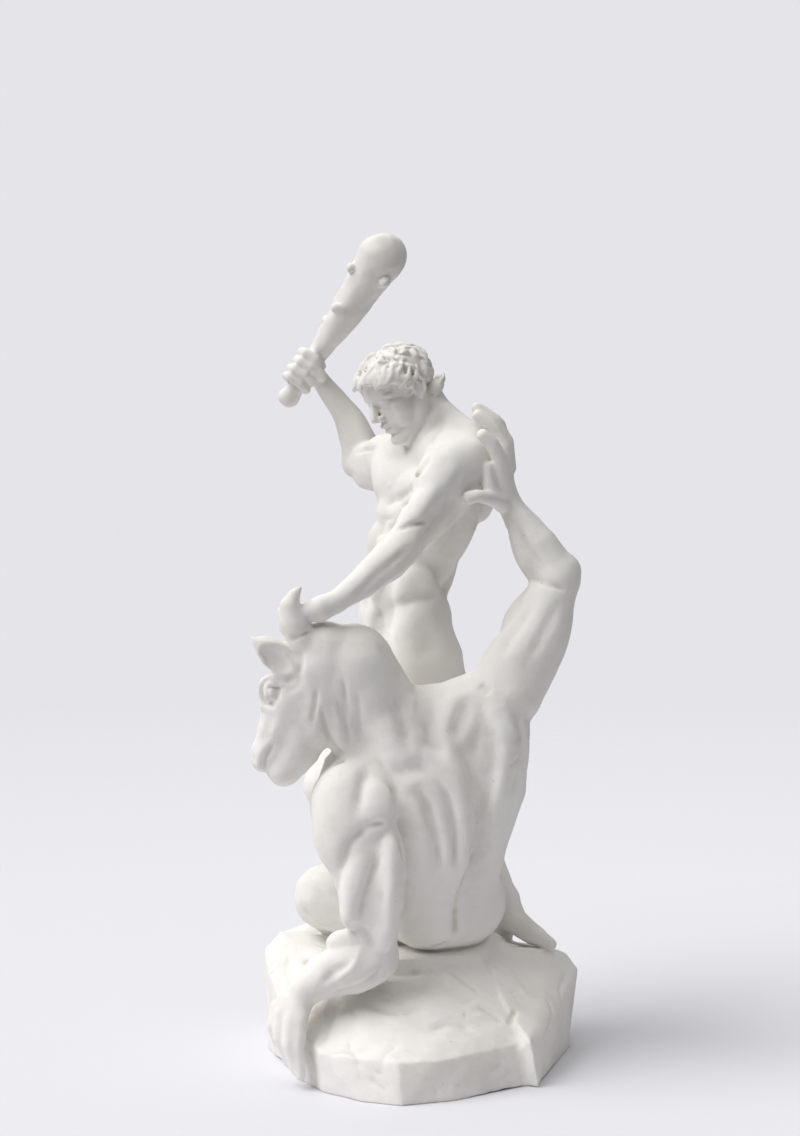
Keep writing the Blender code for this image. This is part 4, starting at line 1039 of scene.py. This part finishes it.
def roughen(clay, lumps, seed):
    """Uneven hand-modelled lumps all over the clay. Their places don't depend on the part of the block that is cut."""
    low, high = np.array(CLAY_LOW, float), np.array(CLAY_HIGH, float)
    lines = [clay.low[axis] + clay.step * np.arange(clay.count[axis]) for axis in range(3)]
    for number, (size, height) in enumerate(lumps):
        counts = np.ceil((high - low) / size).astype(int) + 3
        coarse = np.random.default_rng(seed + number).uniform(-height, height, counts).astype(np.float32)
        fit = [smooth_weights(line, low[axis] - size, size, counts[axis]) for axis, line in enumerate(lines)]
        flat = np.tensordot(fit[0], coarse, (1, 0))
        flat = np.tensordot(flat, fit[1], (1, 1))
        clay.field += np.tensordot(flat, fit[2], (1, 1))


def draw_relief(clay, relief):
    for landmarks, width, depth in relief.values():
        clay.drawn_stroke(landmarks, width, depth)


def carve_bull(bull):
    """Folds and grooves, a soft hollow in the near ear with a ragged tuft under it, and the near eye with its lid."""
    draw_relief(bull, BULL_RELIEF)
    start, end, half_width, half_depth, _ = BULL_HEAD["muscles"]["near ear"]
    start, end = seen_from_front(*start), seen_from_front(*end)
    along, toward = end - start, unit_vector(EAR_FACING)
    start, end = start + 0.2 * along + EAR_CUT * toward, end - 0.1 * along + EAR_CUT * toward
    bull.belly(start, end, half_width - 3, EAR_CUT - 3, toward, 3.5, cut=True)
    draw_relief(bull, EAR_RELIEF)
    lid = bull.seen_path(EYE_LID)
    draw_relief(bull, EYE_RELIEF)
    bull.limb([(place, EYE_LID_RADIUS) for place in lid], 1)


def sculpt_club(club):
    add_forms(club, CLUB)
    roughen(club, CLUB_LUMPS, 21)


def sculpt_rock(rock):
    """Worn blocks, with ruts and with short tool marks at random places, mostly along the slope."""
    for corners in ROCK.values():
        rock.slab(corners, ROCK_EDGE)
    roughen(rock, ROCK_LUMPS, 11)
    draw_relief(rock, ROCK_RELIEF)
    chance = random.Random(SCAR_SEED)
    for _ in range(SCARS):
        across, down = chance.uniform(*ROCK_ACROSS), chance.uniform(*ROCK_DOWN)
        length, slope = chance.uniform(6, 26), chance.gauss(0.35, 0.7)
        end = (across + length * math.cos(slope), down + length * math.sin(slope))
        width, depth = chance.uniform(1.6, 4.2), chance.uniform(-0.9, 1.3)
        rock.drawn_stroke(((across, down), end), width, depth)


def add_part(whole, box, soften, *forms, softness=1.0):
    """Sculpts one part of a figure by itself, then joins it."""
    part = whole.part(*box, softness)
    for form in forms:
        if callable(form):
            form(part)
        else:
            add_forms(part, form)
    whole.add(part, soften)


def figure_clay(step):
    """The whole group, sculpted."""
    group = Clay(CLAY_LOW, CLAY_HIGH, step)
    hero = group.part(*HERO_BOX)
    add_part(hero, TORSO_BOX, 0, hero_torso, softness=1.7)
    add_part(hero, HERO_LEFT_ARM_BOX, 8, HERO_LEFT_ARM, softness=1.3)
    add_part(hero, HERO_RIGHT_ARM_BOX, 8, HERO_RIGHT_ARM, softness=1.3)
    hero.blur(SKIN_BLUR)
    add_part(hero, HEAD_BOX, 4, hero_head, sculpt_face, softness=1.5)
    add_part(hero, HEAD_BOX, 0.8, hero_hair, strand_lines)
    draw_relief(hero, HERO_RELIEF)
    roughen(hero, SKIN_LUMPS, 5)
    add_part(hero, CLUB_BOX, 2, sculpt_club)
    bull = group.part(*BULL_BOX)
    add_part(bull, BULL_BOX, 0, BULL_TRUNK)
    add_part(bull, BULL_LEFT_ARM_BOX, 8, BULL_LEFT_ARM)
    add_part(bull, BULL_RIGHT_ARM_BOX, 7, BULL_RIGHT_ARM)
    add_part(bull, BULL_HEAD_BOX, 8, BULL_HEAD)
    bull.blur(SKIN_BLUR)
    carve_bull(bull)
    roughen(bull, SKIN_LUMPS, 5)
    add_part(group, ROCK_BOX, 0, sculpt_rock)
    group.add(hero, 3)
    group.add(bull, 3)
    cells, _, _, height = group.window(*GROUND_BOX)
    group.field[cells] = np.maximum(group.field[cells], -height)
    return group


def recess_of(clay, places):
    """How deep in a hollow each place lies, from 0 on open skin to 1 in a deep fold. The plaster material darkens
    these hollows with painted shade.
    """
    soft = clay.part(clay.low, clay.high)
    soft.field = np.clip(clay.field, -RECESS_LIMIT, RECESS_LIMIT)
    soft.blur(RECESS_BLUR)
    return np.clip(-soft.sample(places) / RECESS_DEPTH, 0, 1)


def mesh_of(clay, name):
    """The surface as a mesh in metres."""
    places, faces = surface_of(clay)
    mesh = bpy.data.meshes.new(name)
    mesh.vertices.add(len(places))
    mesh.vertices.foreach_set("co", (places * UNIT).astype(np.float32).ravel())
    mesh.loops.add(faces.size)
    mesh.loops.foreach_set("vertex_index", faces.astype(np.int32).ravel())
    mesh.polygons.add(len(faces))
    mesh.polygons.foreach_set("loop_start", np.arange(0, faces.size, 4, dtype=np.int32))
    mesh.update(calc_edges=True)
    return mesh


def add_object(name, data):
    made = bpy.data.objects.new(name, data)
    bpy.context.scene.collection.objects.link(made)
    return made


def thinned(mesh, name, triangles):
    """The mesh, settled a little, with its triangles brought down to this number."""
    draft = add_object(name, mesh)
    soft = draft.modifiers.new("settle", "SMOOTH")
    soft.factor, soft.iterations = 0.5, 1
    thin = draft.modifiers.new("thin", "DECIMATE")
    thin.ratio = min(1.0, triangles / (2 * len(mesh.polygons)))
    thin.use_collapse_triangulate = True
    graph = bpy.context.evaluated_depsgraph_get()
    final = bpy.data.meshes.new_from_object(draft.evaluated_get(graph))
    bpy.data.objects.remove(draft)
    bpy.data.meshes.remove(mesh)
    final.name = name
    return final


class Link:
    """A socket's value, with the operators that make its Math nodes."""

    def __init__(self, nodes, socket):
        self.nodes, self.socket = nodes, socket

    def __add__(self, other):
        return self.nodes.math("ADD", self, other)

    def __sub__(self, other):
        return self.nodes.math("SUBTRACT", self, other)

    def __rsub__(self, other):
        return self.nodes.math("SUBTRACT", other, self)

    def __mul__(self, other):
        return self.nodes.math("MULTIPLY", self, other)

    __radd__ = __add__
    __rmul__ = __mul__


class Nodes:
    """Adds shader nodes to one new material."""

    def __init__(self, name):
        self.material = bpy.data.materials.new(name)
        self.material.use_nodes = True
        self.tree = self.material.node_tree

    def put(self, socket, value):
        if isinstance(value, Link):
            self.tree.links.new(value.socket, socket)
        else:
            socket.default_value = value

    def add(self, kind, settings=None, sockets=(), output=0):
        """A node of this type. The settings come first, then its sockets, by place or by name."""
        node = self.tree.nodes.new(kind)
        for name, value in (settings or {}).items():
            if name == "stops":
                for stop, (place, level) in zip(node.color_ramp.elements, value):
                    stop.position, stop.color = place, (level, level, level, 1.0)
            else:
                setattr(node, name, value)
        pairs = sockets.items() if isinstance(sockets, dict) else enumerate(sockets)
        for name, value in pairs:
            self.put(node.inputs[name], value)
        return Link(self, node.outputs[output])

    def math(self, operation, *values):
        return self.add("ShaderNodeMath", {"operation": operation}, values)

    def noise(self, place, scale, detail=3.0, roughness=0.6):
        sockets = {"Vector": place, "Scale": scale, "Detail": detail, "Roughness": roughness}
        return self.add("ShaderNodeTexNoise", sockets=sockets)

    def mask(self, value, low, high):
        """0 below low, 1 above high."""
        return self.add("ShaderNodeValToRGB", {"stops": ((low, 0.0), (high, 1.0))}, {"Fac": value})

    def spots(self, place, scale, inner, outer):
        """1 in round spots at random places, 0 between them."""
        sockets = {"Vector": place, "Scale": scale, "Randomness": 1.0}
        return 1.0 - self.mask(self.add("ShaderNodeTexVoronoi", sockets=sockets), inner, outer)

    def blend(self, share, first, second):
        node = self.tree.nodes.new("ShaderNodeMix")
        node.data_type = "RGBA"
        for name, value in (("Factor_Float", share), ("A_Color", first), ("B_Color", second)):
            self.put(next(socket for socket in node.inputs if socket.identifier == name), value)
        return Link(self, next(socket for socket in node.outputs if socket.identifier == "Result_Color"))

    def finished(self, sockets):
        """The material, with these values and links on its shader."""
        for name, value in sockets.items():
            self.put(self.tree.nodes["Principled BSDF"].inputs[name], value)
        return self.material


def plaster_material(look):
    """Chalky casting plaster, off-white with painted shade that greys the folds, with blotches, specks, grain, file
    marks and pits.
    """
    nodes = Nodes("casting plaster")
    place = nodes.add("ShaderNodeTexCoord", output="Object")
    recess = nodes.add("ShaderNodeAttribute", {"attribute_name": "recess"}, output="Fac")
    plaster, fold, warm = (tuple(colour) + (1.0,) for colour in (look.plaster, look.fold, look.warm))

    broad = nodes.noise(place, 9.0, 2.0)
    fine = nodes.noise(place, 60.0, 4.0)
    colour = nodes.blend(nodes.mask(broad, 0.52, 0.72) * 0.55, plaster, warm)
    # Painted shade: the folds and hollows are darkened towards the fold colour by the recess depth, broken up by fine
    # noise.
    painted_shade = nodes.mask(recess + (fine - 0.5) * 0.5, 0.12, 0.85)
    colour = nodes.blend(painted_shade * 0.8, colour, fold)
    worn = nodes.mask(nodes.noise(place, 22.0, 5.0, 0.7), 0.5, 0.66)
    colour = nodes.blend(worn * 0.22, colour, fold)
    speck = nodes.spots(place, 95.0, 0.035, 0.075)
    some = nodes.mask(nodes.noise(place, 14.0, 1.0), 0.56, 0.6)
    colour = nodes.blend(speck * some * 0.5, colour, SPECK_COLOUR)

    grain = nodes.noise(place, 900.0, 3.0, 0.7)
    across = nodes.add("ShaderNodeMapping", sockets={"Vector": place, **FILE_MARKS})
    files = nodes.noise(across, 1.0, 2.0)
    filed = nodes.mask(nodes.noise(place, 18.0, 2.0), 0.45, 0.65)
    pit = nodes.spots(place, 260.0, 0.06, 0.16)
    lumps = nodes.noise(place, 130.0, 3.0)
    height = grain * 0.16 + files * filed * 0.35 + lumps * 0.55 - pit * 0.5
    relief = {"Height": height, "Strength": 0.55, "Distance": GRAIN_DEPTH}
    return nodes.finished({
        "Base Color": colour,
        "Roughness": look.roughness + (fine - 0.5) * 0.16,
        "Specular IOR Level": 0.32,
        "Normal": nodes.add("ShaderNodeBump", sockets=relief),
    })


def floor_material(look):
    """A matt pale floor that fades into the backdrop."""
    nodes = Nodes("pale floor")
    place = nodes.add("ShaderNodeTexCoord", output="Object")
    away = nodes.add("ShaderNodeVectorMath", {"operation": "LENGTH"}, [place], output="Value")
    return nodes.finished({
        "Base Color": tuple(look.floor) + (1.0,),
        "Roughness": 0.9,
        "Specular IOR Level": 0.1,
        "Alpha": 1.0 - nodes.mask(away * (1 / look.reach), 0.4, 1.0),
    })


class StatuetteLook(bpy.types.PropertyGroup):
    plaster: FloatVectorProperty(
        name="Plaster", description="Colour of the open skin", default=(0.88, 0.862, 0.83), subtype="COLOR",
        min=0, max=1)
    # The fold colour is the painted shade laid into hollows, and it also tints the random worn patches.
    fold: FloatVectorProperty(
        name="Folds", description="Colour of the dust in folds", default=(0.56, 0.52, 0.45), subtype="COLOR",
        min=0, max=1)
    warm: FloatVectorProperty(
        name="Blotches", description="Colour of the warm blotches", default=(0.82, 0.775, 0.72), subtype="COLOR",
        min=0, max=1)
    roughness: FloatProperty(
        name="Roughness", description="Roughness of the plaster", default=0.84, min=0, max=1, subtype="FACTOR")


class StatuetteShape(bpy.types.PropertyGroup):
    step: FloatProperty(
        name="Clay step", description="Size of the clay's cells", default=FINE_STEP * UNIT, unit="LENGTH", min=0.0005)
    quick_step: FloatProperty(
        name="Quick step", description="Size of the clay's cells in a quick look", default=QUICK_STEP * UNIT,
        unit="LENGTH", min=0.0005)
    triangles: IntProperty(
        name="Triangles", description="Most triangles that the surface keeps", default=TRIANGLES, min=1000)


class StatuetteStage(bpy.types.PropertyGroup):
    floor: FloatVectorProperty(
        name="Floor", description="Colour of the floor", default=(0.755, 0.75, 0.79), subtype="COLOR", min=0, max=1)
    backdrop: FloatVectorProperty(
        name="Backdrop", description="Colour behind the group", default=(0.783, 0.776, 0.815), subtype="COLOR",
        min=0, max=1)
    reach: FloatProperty(
        name="Reach", description="Where the floor has faded out", default=1.8, unit="LENGTH", min=1.0)
    key: FloatProperty(
        name="Key light", description="Strength of the soft light from the upper left", default=2.15, min=0)
    top: FloatProperty(name="Top light", description="Strength of the soft light from above", default=1.6, min=0)
    fill: FloatProperty(name="Fill", description="Strength of the light from all round", default=0.12, min=0)


class STATUETTE_OT_group(bpy.types.Operator):
    """Sculpt the hero, the bull-headed man and their rock as one casting"""

    bl_idname = "statuette.group"
    bl_label = "Sculpt the Group"

    def execute(self, context):
        shape = context.scene.statuette_shape
        clay = figure_clay(shape.step / UNIT)
        mesh = thinned(mesh_of(clay, "plaster_group"), "plaster_group", shape.triangles)
        mesh.shade_smooth()
        places = np.empty(len(mesh.vertices) * 3, np.float32)
        mesh.vertices.foreach_get("co", places)
        # How deep each corner lies in a hollow, which the plaster material turns into painted shade.
        recess = mesh.attributes.new("recess", "FLOAT", "POINT")
        recess.data.foreach_set("value", recess_of(clay, places.reshape(-1, 3) / UNIT).astype(np.float32))
        mesh.materials.append(plaster_material(context.scene.statuette_look))
        group = add_object("plaster_group", mesh)
        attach(group, "root")
        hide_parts(NODE)
        return {"FINISHED"}


def add_soft_light(name, source, strength, spread):
    """Even light from one side of the room, over a wide angle."""
    lamp = bpy.data.lights.new(name, "SUN")
    lamp.energy, lamp.angle = strength, math.radians(spread)
    add_object(name, lamp).rotation_euler = (-Vector(source)).to_track_quat("-Z", "Y").to_euler()


def studio_world(look):
    """Even light from all round, with a brighter pale backdrop."""
    world = bpy.data.worlds.new("studio")
    world.use_nodes = True
    nodes, links = world.node_tree.nodes, world.node_tree.links
    fill = nodes["Background"]
    fill.inputs["Color"].default_value = FILL_COLOUR
    fill.inputs["Strength"].default_value = look.fill
    backdrop = nodes.new("ShaderNodeBackground")
    backdrop.inputs["Color"].default_value = tuple(look.backdrop) + (1.0,)
    mix = nodes.new("ShaderNodeMixShader")
    links.new(nodes.new("ShaderNodeLightPath").outputs["Is Camera Ray"], mix.inputs["Fac"])
    links.new(fill.outputs[0], mix.inputs[1])
    links.new(backdrop.outputs[0], mix.inputs[2])
    links.new(mix.outputs[0], nodes["World Output"].inputs["Surface"])
    return world


def add_camera():
    """The camera at the drawing's eye, framed as the drawing is."""
    data = bpy.data.cameras.new("camera")
    data.lens = PICTURE_DISTANCE / max(PICTURE_SIZE) * data.sensor_width
    data.clip_end = 50.0
    camera = add_object("camera", data)
    camera.location = Vector((EYE_ACROSS, -EYE_DISTANCE, EYE_HEIGHT)) * UNIT
    camera.rotation_euler = (math.pi / 2 - PITCH, 0, 0)
    bpy.context.scene.camera = camera


class STATUETTE_OT_stage(bpy.types.Operator):
    """Set up the pale floor, the soft studio light and the camera"""

    bl_idname = "statuette.stage"
    bl_label = "Set Up the Stage"

    def execute(self, context):
        scene, look = context.scene, context.scene.statuette_stage
        mesh = bpy.data.meshes.new("floor")
        edge = 1.2 * look.reach
        mesh.from_pydata([(-edge, -edge, 0), (edge, -edge, 0), (edge, edge, 0), (-edge, edge, 0)], [], [(0, 1, 2, 3)])
        mesh.materials.append(floor_material(look))
        add_object("floor", mesh)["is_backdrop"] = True
        scene.world = studio_world(look)
        add_soft_light("key light", KEY_SOURCE, look.key, KEY_SPREAD)
        add_soft_light("top light", TOP_SOURCE, look.top, TOP_SPREAD)
        add_camera()
        scene.view_settings.view_transform = "Standard"
        return {"FINISHED"}


class STATUETTE_PT_panel(bpy.types.Panel):
    bl_label = "Statuette"
    bl_space_type = "VIEW_3D"
    bl_region_type = "UI"
    bl_category = "Statuette"

    def draw(self, context):
        for name in PROPERTY_GROUPS:
            box = self.layout.box()
            group = getattr(context.scene, name)
            for prop in group.bl_rna.properties:
                if prop.identifier not in ("rna_type", "name"):
                    box.prop(group, prop.identifier)
        for operator in (STATUETTE_OT_group, STATUETTE_OT_stage):
            self.layout.operator(operator.bl_idname)


PROPERTY_GROUPS = {
    "statuette_shape": StatuetteShape,
    "statuette_look": StatuetteLook,
    "statuette_stage": StatuetteStage,
}
CLASSES = (*PROPERTY_GROUPS.values(), STATUETTE_OT_group, STATUETTE_OT_stage, STATUETTE_PT_panel)


def register():
    for kind in CLASSES:
        bpy.utils.register_class(kind)
    for name, kind in PROPERTY_GROUPS.items():
        setattr(bpy.types.Scene, name, PointerProperty(type=kind))


def unregister():
    for name in PROPERTY_GROUPS:
        delattr(bpy.types.Scene, name)
    for kind in reversed(CLASSES):
        bpy.utils.unregister_class(kind)


def main():
    register()
    bpy.ops.statuette.group()
    bpy.ops.statuette.stage()
    boxes = {"cad": CAD_BOX, "visual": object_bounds()}
    boxes = {name: [[float(value) for value in corner] for corner in box] for name, box in boxes.items()}


if __name__ == "__main__":
    main()
